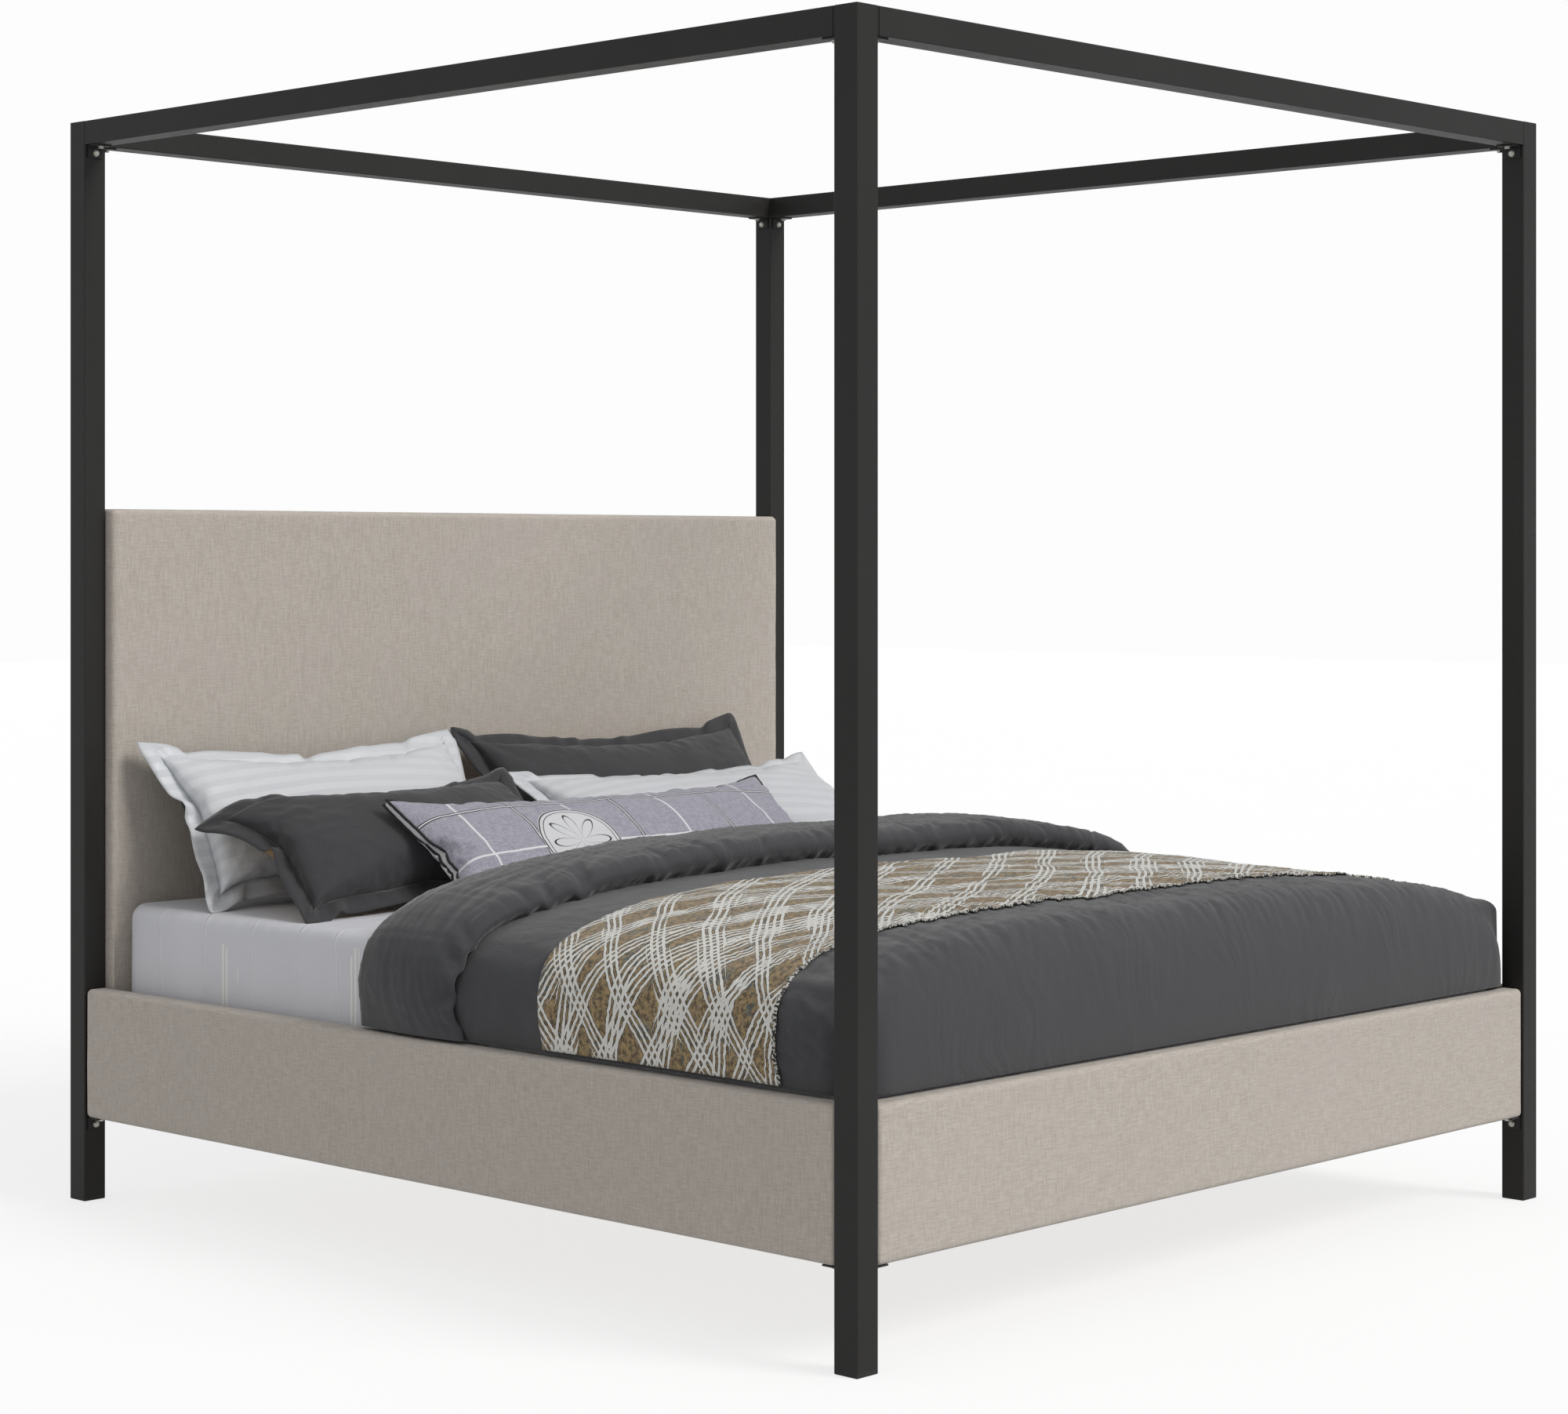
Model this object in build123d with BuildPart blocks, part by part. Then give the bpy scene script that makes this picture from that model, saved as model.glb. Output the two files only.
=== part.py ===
"""Four poster canopy bed: square steel posts and canopy, upholstered headboard and rails, made bed.

Millimetres, +Z up. The origin is on the floor at the middle of the footprint. The headboard is at +Y,
the foot rail at -Y, and left (-X) is the left hand of someone standing at the foot and facing the head.
"""
import os
from math import cos, radians, sin

from build123d import *

os.makedirs("parts", exist_ok=True)

# ---------------------------------------------------------------- overall size
INCH = 25.4
WIDTH = 81 * INCH
LENGTH = 85 * INCH
HEIGHT = 86 * INCH

# Sizes of cutting tools: a little past a face, and past the whole bed.
PAST = 1.0
FAR = 4000.0

# ---------------------------------------------------------------- steel frame
POST = 2 * INCH
POST_WALL = 2.0
POST_RADIUS = 2.5
CAP = 2.0
CAP_CHAMFER = 0.6
GLIDE_FOOT = 8.0
GLIDE_PLUG = 20.0
GLIDE_ROUND = 2.4
FIT = 0.2
CANOPY_TALL = 48.0
CANOPY_WALL = 1.8
CANOPY_RADIUS = 2.0
END_PLATE = 2.5
END_PLATE_INSET = 0.8

POST_X = (WIDTH - POST) / 2
POST_Y = (LENGTH - POST) / 2
CLEAR_X = WIDTH / 2 - POST
CLEAR_Y = LENGTH / 2 - POST
CANOPY_UNDER = HEIGHT - CANOPY_TALL

# ---------------------------------------------------------------- angle brackets and fasteners
BRACKET = 3.0
BRACKET_LEG = 32.0
BRACKET_DROP = 26.0
BRACKET_WIDE = 36.0
BRACKET_ROUND = 0.5
BOLT_R = 3.0
BOLT_HOLE_R = 3.3
BOLT_LONG = 22.0
BOLT_SHORT = 14.0
BOLT_OUT = 20.0
BOLT_DOWN = 16.0
BOLT_CHAMFER = 0.6
PLATE_BOLT_LONG = 28.0
DRILL_PAST = 2.0
WASHER = 1.0
WASHER_R = 6.5
HEX = 10.0
HEX_TALL = 4.0
NUT_TALL = 5.0
THREAD_R = 3.05
INSERT_R = 5.0
INSERT_LONG = 14.0
SCREW_R = 2.0
SCREW_HOLE_R = 2.2
SCREW_HEAD_R = 4.0
SCREW_HEAD = 2.5
SCREW_ROUND = 1.2
SCREW_LONG = 22.0

# ---------------------------------------------------------------- upholstered rails
RAIL_LOW = 170.0
RAIL_TOP = 430.0
RAIL_THICK = POST
RAIL_GAP = 1.0
RAIL_SOFT = 10.0
COVER = 1.5
LINING = 0.8
RAIL_FOAM = 17.0
TOP_FOAM = 12.0
RETURN = 45.0
RAIL_MID = (RAIL_LOW + RAIL_TOP) / 2
RAIL_TALL = RAIL_TOP - RAIL_LOW
COVER_THICK = RAIL_THICK - LINING

# ---------------------------------------------------------------- mattress support
SLAT_BASE = 300.0
SLAT = 18.0
SLAT_WIDE = 70.0
SLAT_COUNT = 13
SLAT_PITCH = 160.0
SLAT_GAP = 4.0
SLAT_ROUND = 2.0
LEDGE = 30.0
LEDGE_THICK = 3.0
LEDGE_LONG = 1900.0
LEDGE_SCREWS = 7
LEDGE_SCREW_PITCH = 290.0
STRAP_X = 600.0
STRAP_WIDE = 25.0
STRAP = 1.0
BEAM = 40.0
BEAM_WALL = 1.8
HANGER = 3.0
HANGER_DEEP = 40.0
HANGER_WIDE = 90.0
HANGER_SCREW_X = 33.0
CROSS_LOW = 240.0
CROSS_DEEP = 30.0
LEG = 30.0
LEG_WALL = 1.5
LEG_SPACING = 500.0
LEG_PLATE = (60.0, 40.0, 3.0)
LEG_FOOT = 12.0
LEG_FOOT_R = 19.0
LEG_FOOT_DISC = 6.0
LEG_STEM_R = 5.0
LEG_FOOT_ROUND = 2.0

# ---------------------------------------------------------------- headboard
HB_PROUD = 28.0
HB_LOW = 310.0
HB_TOP = 55.16 * INCH
HB_SEAM = 525.0
HB_X = CLEAR_X - RAIL_GAP
HB_FRONT = CLEAR_Y - HB_PROUD
HB_FOAM = 22.0
HB_PANEL = 6.0
HB_FRAME = 36.0
HB_SOFT = 12.0
STILE = 60.0
STILE_X = 315.0
PLATE_HEIGHTS = (600.0, 1250.0)
PLATE_WIDE = 45.0
PLATE_TALL = 60.0
PLATE_BOLT = 25.0
LINING_GAP = 3.0

# ---------------------------------------------------------------- bedding
MATTRESS_X = 76 * INCH / 2 - 2
MATTRESS_FOOT = -1024.0
MATTRESS_HEAD = 996.0
MATTRESS_TOP = 598.0
MATTRESS_CORNER = 60.0
MATTRESS_EDGE = 28.0
SHEET = 1.5
SHEET_HEM = 2.0
DUVET_X = 998.0
DUVET_FOOT = -1052.0
DUVET_HEAD = 170.0
DUVET_LOW = 436.0
DUVET_EDGE_Z = 590.0
DUVET_TOP = 697.0
DUVET_ROUND = 110.0
ROLL_X = 1012.0
ROLL_FOOT = -112.0
ROLL_HEAD = 196.0
ROLL_EDGE_Z = 655.0
ROLL_TOP = 750.0
ROLL_ROUND = 70.0
POST_CLEAR = 2.0
RUNNER = 3.0
RUNNER_FOOT = -845.0
RUNNER_HEAD = -270.0
PILLOW_EDGE = 6.0
PILLOW_CORNER = 35.0


def save(piece, name):
    """Label a finished sub-part and write it to its own STEP file."""
    piece.part.label = name
    export_step(piece.part, f"parts/{name}.step")


# ================================================================ frames that the fasteners share
def rail_end(x, y, z, along):
    """Plane at a rail's end: origin on the post's face under the rail, its x axis along the rail."""
    return Plane(origin=(x, y, z), x_dir=along, z_dir=(0, 0, 1))


def side_ends(z):
    """The four ends of the two rails that run from head to foot."""
    return [rail_end(sx * POST_X, sy * CLEAR_Y, z, (0, -sy, 0)) for sx in (-1, 1) for sy in (-1, 1)]


def cross_ends(z, sy):
    """The two ends of a rail that runs from left to right at the foot (-1) or the head (+1)."""
    return [rail_end(sx * CLEAR_X, sy * POST_Y, z, (-sx, 0, 0)) for sx in (-1, 1)]


CANOPY_ENDS = side_ends(CANOPY_UNDER) + cross_ends(CANOPY_UNDER, -1) + cross_ends(CANOPY_UNDER, 1)
SOFT_RAIL_ENDS = side_ends(RAIL_LOW) + cross_ends(RAIL_LOW, -1)
CROSS_RAIL_ENDS = cross_ends(CROSS_LOW, 1)
ALL_ENDS = CANOPY_ENDS + SOFT_RAIL_ENDS + CROSS_RAIL_ENDS

UP_SEAT = Plane(origin=(BOLT_OUT, 0, -BRACKET), z_dir=(0, 0, -1))
SIDE_SEAT = Plane(origin=(BRACKET, 0, -BOLT_DOWN), z_dir=(1, 0, 0))

HB_BACK = HB_FRONT + COVER + HB_FOAM + HB_PANEL + HB_FRAME + COVER
PLATE_SEATS = [
    Plane(origin=(sx * (CLEAR_X - PLATE_BOLT), HB_BACK + BRACKET, z), z_dir=(0, 1, 0))
    for sx in (-1, 1)
    for z in PLATE_HEIGHTS
]

# Section planes of the upholstered rails: x runs inward from the outer face, y runs up, and the
# rail is extruded along the normal.
SIDE_LONG = 2 * (CLEAR_Y - RAIL_GAP)
FOOT_LONG = 2 * (CLEAR_X - RAIL_GAP)
RAILS = {
    "side_rail_left": (
        Plane(origin=(-WIDTH / 2, SIDE_LONG / 2, 0), x_dir=(1, 0, 0), z_dir=(0, -1, 0)),
        SIDE_LONG,
    ),
    "side_rail_right": (
        Plane(origin=(WIDTH / 2, -SIDE_LONG / 2, 0), x_dir=(-1, 0, 0), z_dir=(0, 1, 0)),
        SIDE_LONG,
    ),
    "foot_rail": (
        Plane(origin=(-FOOT_LONG / 2, -LENGTH / 2, 0), x_dir=(0, 1, 0), z_dir=(1, 0, 0)),
        FOOT_LONG,
    ),
}
LEDGE_RAILS = {"ledge_left": "side_rail_left", "ledge_right": "side_rail_right"}


def ledge_screw_seats():
    """Screw seats on the inner faces of the two ledges, heads towards the middle of the bed."""
    rows = range(LEDGE_SCREWS)
    first = -LEDGE_SCREW_PITCH * (LEDGE_SCREWS - 1) / 2
    face = CLEAR_X - LEDGE_THICK
    height = SLAT_BASE - LEDGE / 2 - LEDGE_THICK
    return [
        Plane(origin=(sx * face, first + row * LEDGE_SCREW_PITCH, height), z_dir=(-sx, 0, 0))
        for sx in (-1, 1)
        for row in rows
    ]


HANGER_FOOT_Y = -CLEAR_Y
HANGER_HEAD_Y = POST_Y - CROSS_DEEP / 2
HANGER_MID = SLAT_BASE - BEAM / 2
HANGER_SEATS = [
    Plane(origin=(sx * HANGER_SCREW_X, y + sy * HANGER, HANGER_MID), z_dir=(0, sy, 0))
    for sx in (-1, 1)
    for y, sy in ((HANGER_FOOT_Y, 1), (HANGER_HEAD_Y, -1))
]
SCREW_SEATS = ledge_screw_seats() + HANGER_SEATS

# ================================================================ patterns used in several nodes
with BuildPart() as bracket:
    with BuildSketch(Plane.XZ):
        with BuildLine():
            Polyline(
                (0, 0),
                (BRACKET_LEG, 0),
                (BRACKET_LEG, -BRACKET),
                (BRACKET, -BRACKET),
                (BRACKET, -BRACKET_DROP),
                (0, -BRACKET_DROP),
                close=True,
            )
        make_face()
    extrude(amount=BRACKET_WIDE / 2, both=True)
    fillet(bracket.edges().filter_by(Axis.Z).group_by(Axis.X)[0], BRACKET_ROUND)
    with Locations(UP_SEAT, SIDE_SEAT):
        Cylinder(BOLT_HOLE_R, 4 * BRACKET, mode=Mode.SUBTRACT)


def hex_bolt(length):
    """Hexagon bolt with its washer: the washer sits on z = 0 and the shank points down."""
    with BuildPart() as bolt:
        with BuildSketch():
            Circle(WASHER_R)
        extrude(amount=WASHER)
        with BuildSketch(Plane.XY.offset(WASHER)):
            RegularPolygon(HEX / 2, 6, major_radius=False)
        extrude(amount=HEX_TALL)
        with BuildSketch():
            Circle(BOLT_R)
        extrude(amount=-length)
        chamfer(bolt.edges().group_by(Axis.Z)[-1], BOLT_CHAMFER)
    return bolt.part


long_bolt = hex_bolt(BOLT_LONG)
short_bolt = hex_bolt(BOLT_SHORT)
plate_bolt = hex_bolt(PLATE_BOLT_LONG)

with BuildPart() as drill:
    with Locations(UP_SEAT):
        Cylinder(BOLT_HOLE_R, 2 * (BOLT_LONG + DRILL_PAST), mode=Mode.ADD)
    with Locations(SIDE_SEAT):
        Cylinder(BOLT_HOLE_R, 2 * BOLT_SHORT, mode=Mode.ADD)

with BuildPart() as nut:
    with BuildSketch():
        RegularPolygon(HEX / 2, 6, major_radius=False)
        Circle(THREAD_R, mode=Mode.SUBTRACT)
    extrude(amount=NUT_TALL)

with BuildPart() as insert:
    with BuildSketch():
        Circle(INSERT_R)
        Circle(THREAD_R, mode=Mode.SUBTRACT)
    extrude(amount=INSERT_LONG)

with BuildPart() as screw:
    with BuildSketch():
        Circle(SCREW_HEAD_R)
    extrude(amount=SCREW_HEAD)
    fillet(screw.edges().group_by(Axis.Z)[-1], SCREW_ROUND)
    with BuildSketch():
        Circle(SCREW_R)
    extrude(amount=-SCREW_LONG)

# ================================================================ posts
for side, sx in (("left", -1), ("right", 1)):
    for end, sy in (("foot", -1), ("head", 1)):
        with BuildPart() as post:
            with BuildSketch(Plane((sx * POST_X, sy * POST_Y, GLIDE_FOOT))):
                RectangleRounded(POST, POST, POST_RADIUS)
                bore = POST - 2 * POST_WALL
                RectangleRounded(bore, bore, POST_RADIUS - POST_WALL / 2, mode=Mode.SUBTRACT)
            extrude(amount=HEIGHT - CAP - GLIDE_FOOT)
            with Locations(*ALL_ENDS):
                add(drill.part, mode=Mode.SUBTRACT)
        save(post, f"post_{end}_{side}")

CORNERS = GridLocations(2 * POST_X, 2 * POST_Y, 2, 2)

with BuildPart() as post_caps:
    with BuildSketch(Plane.XY.offset(HEIGHT - CAP)):
        with CORNERS:
            RectangleRounded(POST, POST, POST_RADIUS)
    extrude(amount=CAP)
    chamfer(post_caps.edges().group_by(Axis.Z)[-1], CAP_CHAMFER)
save(post_caps, "post_caps")

with BuildPart() as foot_glides:
    with BuildSketch():
        with CORNERS:
            RectangleRounded(POST, POST, POST_RADIUS)
    extrude(amount=GLIDE_FOOT)
    fillet(foot_glides.edges().group_by(Axis.Z)[0], GLIDE_ROUND)
    with BuildSketch(Plane.XY.offset(GLIDE_FOOT)):
        with CORNERS:
            plug = POST - 2 * POST_WALL - 2 * FIT
            RectangleRounded(plug, plug, POST_RADIUS - POST_WALL / 2)
    extrude(amount=GLIDE_PLUG)
save(foot_glides, "foot_glides")

# ================================================================ canopy
CANOPY_MID = HEIGHT - CANOPY_TALL / 2
CANOPY_RAILS = {
    "canopy_rail_left": Plane(origin=(-POST_X, 0, CANOPY_MID), x_dir=(1, 0, 0), z_dir=(0, 1, 0)),
    "canopy_rail_right": Plane(origin=(POST_X, 0, CANOPY_MID), x_dir=(1, 0, 0), z_dir=(0, 1, 0)),
    "canopy_rail_foot": Plane(origin=(0, -POST_Y, CANOPY_MID), x_dir=(0, 1, 0), z_dir=(1, 0, 0)),
    "canopy_rail_head": Plane(origin=(0, POST_Y, CANOPY_MID), x_dir=(0, 1, 0), z_dir=(1, 0, 0)),
}


def half_span(plane):
    """Half the clear distance between the two posts that a rail's axis joins."""
    return CLEAR_X if abs(plane.z_dir.X) > 0.5 else CLEAR_Y


for name, plane in CANOPY_RAILS.items():
    with BuildPart() as canopy_rail:
        with BuildSketch(plane):
            RectangleRounded(POST, CANOPY_TALL, CANOPY_RADIUS)
            Rectangle(POST - 2 * CANOPY_WALL, CANOPY_TALL - 2 * CANOPY_WALL, mode=Mode.SUBTRACT)
        extrude(amount=half_span(plane) - END_PLATE, both=True)
        with Locations(*CANOPY_ENDS):
            add(drill.part, mode=Mode.SUBTRACT)
    save(canopy_rail, name)

with BuildPart() as canopy_end_plates:
    for plane in CANOPY_RAILS.values():
        reach = half_span(plane)
        for offset in (-reach, reach - END_PLATE):
            with BuildSketch(plane.offset(offset)):
                plate_wide = POST - 2 * END_PLATE_INSET
                plate_tall = CANOPY_TALL - 2 * END_PLATE_INSET
                RectangleRounded(plate_wide, plate_tall, CANOPY_RADIUS)
            extrude(amount=END_PLATE)
save(canopy_end_plates, "canopy_end_plates")

# ================================================================ brackets and fasteners
with BuildPart() as canopy_brackets:
    with Locations(*CANOPY_ENDS):
        add(bracket.part)
save(canopy_brackets, "canopy_brackets")

with BuildPart() as rail_brackets:
    with Locations(*SOFT_RAIL_ENDS, *CROSS_RAIL_ENDS):
        add(bracket.part)
save(rail_brackets, "rail_brackets")


def bracket_bolts(ends):
    """One bolt up into the rail and one into the post, for each bracket."""
    with BuildPart() as bolts:
        with Locations(*ends):
            with Locations(UP_SEAT):
                add(long_bolt)
            with Locations(SIDE_SEAT):
                add(short_bolt)
    return bolts


save(bracket_bolts(CANOPY_ENDS), "canopy_bolts")
save(bracket_bolts(SOFT_RAIL_ENDS + CROSS_RAIL_ENDS), "rail_bolts")

with BuildPart() as weld_nuts:
    with Locations(*ALL_ENDS):
        with Locations(Plane(origin=(-POST_WALL, 0, -BOLT_DOWN), z_dir=(-1, 0, 0))):
            add(nut.part)
    with Locations(*CANOPY_ENDS):
        with Locations((BOLT_OUT, 0, CANOPY_WALL)):
            add(nut.part)
    with Locations(*CROSS_RAIL_ENDS):
        with Locations((BOLT_OUT, 0, POST_WALL)):
            add(nut.part)
save(weld_nuts, "weld_nuts")

RAIL_INSERT = Plane(origin=(BOLT_OUT, 0, COVER))
HB_INSERT = Plane(origin=(0, 0, -(BRACKET + COVER)), z_dir=(0, 0, -1))
with BuildPart() as threaded_inserts:
    with Locations(*SOFT_RAIL_ENDS):
        with Locations(RAIL_INSERT):
            add(insert.part)
    with Locations(*PLATE_SEATS):
        with Locations(HB_INSERT):
            add(insert.part)
save(threaded_inserts, "threaded_inserts")

with BuildPart() as frame_screws:
    with Locations(*SCREW_SEATS):
        add(screw.part)
save(frame_screws, "frame_screws")

# ================================================================ upholstered rails
FOAM_DEPTH = COVER + RAIL_FOAM
CORE_TOP = RAIL_TOP - COVER - TOP_FOAM
CORE_THICK = COVER_THICK - COVER - FOAM_DEPTH


def rail_fill(mode=Mode.ADD):
    """Everything inside a rail's fabric, in the rail's section plane."""
    with Locations((COVER_THICK / 2, RAIL_MID)):
        fill = RectangleRounded(
            COVER_THICK - 2 * COVER, RAIL_TALL - 2 * COVER, RAIL_SOFT - COVER, mode=mode
        )
    return fill


def core_block(mode):
    """The timber core's outline in the rail's section plane, before the fabric's corners round it."""
    middle = (FOAM_DEPTH + CORE_THICK / 2, (RAIL_LOW + CORE_TOP) / 2)
    with Locations(middle):
        block = Rectangle(CORE_THICK, CORE_TOP - RAIL_LOW, mode=mode)
    return block


for name, (plane, long) in RAILS.items():
    with BuildPart() as core:
        with BuildSketch(plane):
            rail_fill()
            core_block(Mode.INTERSECT)
        extrude(amount=long)
        with Locations(*SOFT_RAIL_ENDS):
            add(drill.part, mode=Mode.SUBTRACT)
            with Locations(RAIL_INSERT):
                Cylinder(
                    INSERT_R,
                    INSERT_LONG,
                    align=(Align.CENTER, Align.CENTER, Align.MIN),
                    mode=Mode.SUBTRACT,
                )
        with Locations(*SCREW_SEATS):
            Cylinder(SCREW_HOLE_R, 2 * (SCREW_LONG + PAST), mode=Mode.SUBTRACT)
    save(core, f"{name}_core")

    with BuildPart() as foam:
        with BuildSketch(plane):
            rail_fill()
            core_block(Mode.SUBTRACT)
        extrude(amount=long)
    save(foam, f"{name}_foam")

    with BuildPart() as cover:
        with BuildSketch(plane):
            with Locations((COVER_THICK / 2, RAIL_MID)):
                RectangleRounded(COVER_THICK, RAIL_TALL, RAIL_SOFT)
            rail_fill(Mode.SUBTRACT)
            with Locations((COVER_THICK, RAIL_MID)):
                Rectangle(4 * COVER, RAIL_TALL - 2 * RETURN, mode=Mode.SUBTRACT)
        extrude(amount=long)
        with Locations(*SOFT_RAIL_ENDS):
            add(drill.part, mode=Mode.SUBTRACT)
    save(cover, f"{name}_cover")

    with BuildPart() as lining:
        with BuildSketch(plane):
            with Locations((COVER_THICK + LINING / 2, RAIL_MID)):
                Rectangle(LINING, RAIL_TALL - RETURN)
        extrude(amount=long)
        with Locations(*SCREW_SEATS):
            Cylinder(SCREW_HOLE_R, 2 * (SCREW_LONG + PAST), mode=Mode.SUBTRACT)
    save(lining, f"{name}_lining")

# ================================================================ mattress support
for name, rail in LEDGE_RAILS.items():
    plane, long = RAILS[rail]
    with BuildPart() as ledge:
        with BuildSketch(plane.offset((long - LEDGE_LONG) / 2)):
            with BuildLine():
                Polyline(
                    (POST, SLAT_BASE),
                    (POST, SLAT_BASE - LEDGE),
                    (POST + LEDGE_THICK, SLAT_BASE - LEDGE),
                    (POST + LEDGE_THICK, SLAT_BASE - LEDGE_THICK),
                    (POST + LEDGE, SLAT_BASE - LEDGE_THICK),
                    (POST + LEDGE, SLAT_BASE),
                    close=True,
                )
            make_face()
        extrude(amount=LEDGE_LONG)
        with Locations(*SCREW_SEATS):
            Cylinder(SCREW_HOLE_R, 4 * LEDGE_THICK, mode=Mode.SUBTRACT)
    save(ledge, name)

CROSS_TALL = SLAT_BASE - CROSS_LOW
with BuildPart() as head_cross_rail:
    cross_mid = (0, POST_Y, CROSS_LOW + CROSS_TALL / 2)
    with BuildSketch(Plane(origin=cross_mid, x_dir=(0, 1, 0), z_dir=(1, 0, 0))):
        Rectangle(CROSS_DEEP, CROSS_TALL)
        Rectangle(CROSS_DEEP - 2 * POST_WALL, CROSS_TALL - 2 * POST_WALL, mode=Mode.SUBTRACT)
    extrude(amount=CLEAR_X, both=True)
    with Locations(*CROSS_RAIL_ENDS):
        add(drill.part, mode=Mode.SUBTRACT)
    with Locations(*HANGER_SEATS):
        Cylinder(SCREW_HOLE_R, 2 * HANGER + 2 * CROSS_DEEP, mode=Mode.SUBTRACT)
save(head_cross_rail, "head_cross_rail")

with BuildPart() as centre_beam:
    start = HANGER_FOOT_Y + HANGER
    with BuildSketch(Plane(origin=(0, start, HANGER_MID), x_dir=(1, 0, 0), z_dir=(0, 1, 0))):
        RectangleRounded(BEAM, BEAM, 2 * BEAM_WALL)
        Rectangle(BEAM - 4 * BEAM_WALL, BEAM - 4 * BEAM_WALL, mode=Mode.SUBTRACT)
    extrude(amount=HANGER_HEAD_Y - HANGER - start)
save(centre_beam, "centre_beam")

with BuildPart() as beam_hangers:
    for y, sy in ((HANGER_FOOT_Y, 1), (HANGER_HEAD_Y, -1)):
        face = Plane(origin=(0, y, HANGER_MID), x_dir=(sy, 0, 0), z_dir=(0, sy, 0))
        with BuildSketch(face):
            Rectangle(HANGER_WIDE, BEAM)
        extrude(amount=HANGER)
        with BuildSketch(face):
            with Locations((0, HANGER / 2)):
                Rectangle(BEAM + 2 * HANGER + 2 * FIT, BEAM + HANGER)
            Rectangle(BEAM + 2 * FIT, BEAM, mode=Mode.SUBTRACT)
        extrude(amount=HANGER_DEEP)
    with Locations(*HANGER_SEATS):
        Cylinder(SCREW_HOLE_R, 4 * HANGER, mode=Mode.SUBTRACT)
save(beam_hangers, "beam_hangers")

BEAM_UNDER = SLAT_BASE - BEAM
for name, y in (("foot", -LEG_SPACING), ("middle", 0), ("head", LEG_SPACING)):
    with BuildPart() as centre_leg:
        with BuildSketch(Plane((0, y, LEG_FOOT))):
            RectangleRounded(LEG, LEG, LEG_WALL)
            Rectangle(LEG - 2 * LEG_WALL, LEG - 2 * LEG_WALL, mode=Mode.SUBTRACT)
        extrude(amount=BEAM_UNDER - LEG_PLATE[2] - LEG_FOOT)
        with BuildSketch(Plane((0, y, BEAM_UNDER - LEG_PLATE[2]))):
            RectangleRounded(LEG_PLATE[0], LEG_PLATE[1], LEG_WALL)
        extrude(amount=LEG_PLATE[2])
    save(centre_leg, f"centre_leg_{name}")

LEG_SPOTS = GridLocations(0, LEG_SPACING, 1, 3)
with BuildPart() as leg_glides:
    with BuildSketch():
        with LEG_SPOTS:
            Circle(LEG_FOOT_R)
    extrude(amount=LEG_FOOT_DISC)
    fillet(leg_glides.edges().group_by(Axis.Z)[-1], LEG_FOOT_ROUND)
    with BuildSketch(Plane.XY.offset(LEG_FOOT_DISC)):
        with LEG_SPOTS:
            Circle(LEG_STEM_R)
    extrude(amount=LEG_FOOT - LEG_FOOT_DISC)
    with BuildSketch(Plane.XY.offset(LEG_FOOT)):
        with LEG_SPOTS:
            Rectangle(LEG - 2 * LEG_WALL - 2 * FIT, LEG - 2 * LEG_WALL - 2 * FIT)
    extrude(amount=LEG_FOOT)
save(leg_glides, "leg_glides")

with BuildPart() as slats:
    with Locations((0, 0, SLAT_BASE + SLAT / 2)):
        with GridLocations(0, SLAT_PITCH, 1, SLAT_COUNT):
            Box(2 * (CLEAR_X - SLAT_GAP), SLAT_WIDE, SLAT)
    fillet(slats.edges().filter_by(Axis.X), SLAT_ROUND)
save(slats, "slats")

with BuildPart() as slat_straps:
    with Locations((0, 0, SLAT_BASE - STRAP / 2)):
        with GridLocations(2 * STRAP_X, 0, 2, 1):
            Box(STRAP_WIDE, SLAT_PITCH * (SLAT_COUNT - 1) + SLAT_WIDE, STRAP)
save(slat_straps, "slat_straps")

# ================================================================ headboard
FOAM_BACK = HB_FRONT + COVER + HB_FOAM
PANEL_BACK = FOAM_BACK + HB_PANEL
FRAME_BACK = PANEL_BACK + HB_FRAME
INNER_X = HB_X - COVER
INNER_LOW = HB_LOW + COVER
INNER_TOP = HB_TOP - COVER
TIMBER_TOP = INNER_TOP - TOP_FOAM


def block(x, y0, y1, z0, z1, mode=Mode.ADD):
    """Box symmetrical about x = 0, given by its half width and its limits in y and z."""
    with Locations((0, (y0 + y1) / 2, (z0 + z1) / 2)):
        made = Box(2 * x, y1 - y0, z1 - z0, mode=mode)
    return made


with BuildPart() as headboard_cross_rails:
    block(INNER_X, PANEL_BACK, FRAME_BACK, INNER_LOW, INNER_LOW + STILE)
    block(INNER_X, PANEL_BACK, FRAME_BACK, TIMBER_TOP - STILE, TIMBER_TOP)
save(headboard_cross_rails, "headboard_cross_rails")

with BuildPart() as headboard_stiles:
    stile_tall = TIMBER_TOP - INNER_LOW - 2 * STILE
    stile_y = (PANEL_BACK + FRAME_BACK) / 2
    edge_x = INNER_X - STILE / 2
    with Locations((0, stile_y, (INNER_LOW + TIMBER_TOP) / 2)):
        with Locations((-edge_x, 0), (-STILE_X, 0), (STILE_X, 0), (edge_x, 0)):
            Box(STILE, HB_FRAME, stile_tall)
    with Locations(*PLATE_SEATS):
        Cylinder(BOLT_HOLE_R, 2 * (PLATE_BOLT_LONG + DRILL_PAST), mode=Mode.SUBTRACT)
        with Locations(HB_INSERT):
            Cylinder(
                INSERT_R,
                INSERT_LONG,
                align=(Align.CENTER, Align.CENTER, Align.MIN),
                mode=Mode.SUBTRACT,
            )
save(headboard_stiles, "headboard_stiles")

with BuildPart() as headboard_panel:
    block(INNER_X, FOAM_BACK, PANEL_BACK, INNER_LOW, TIMBER_TOP)
save(headboard_panel, "headboard_panel")

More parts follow.
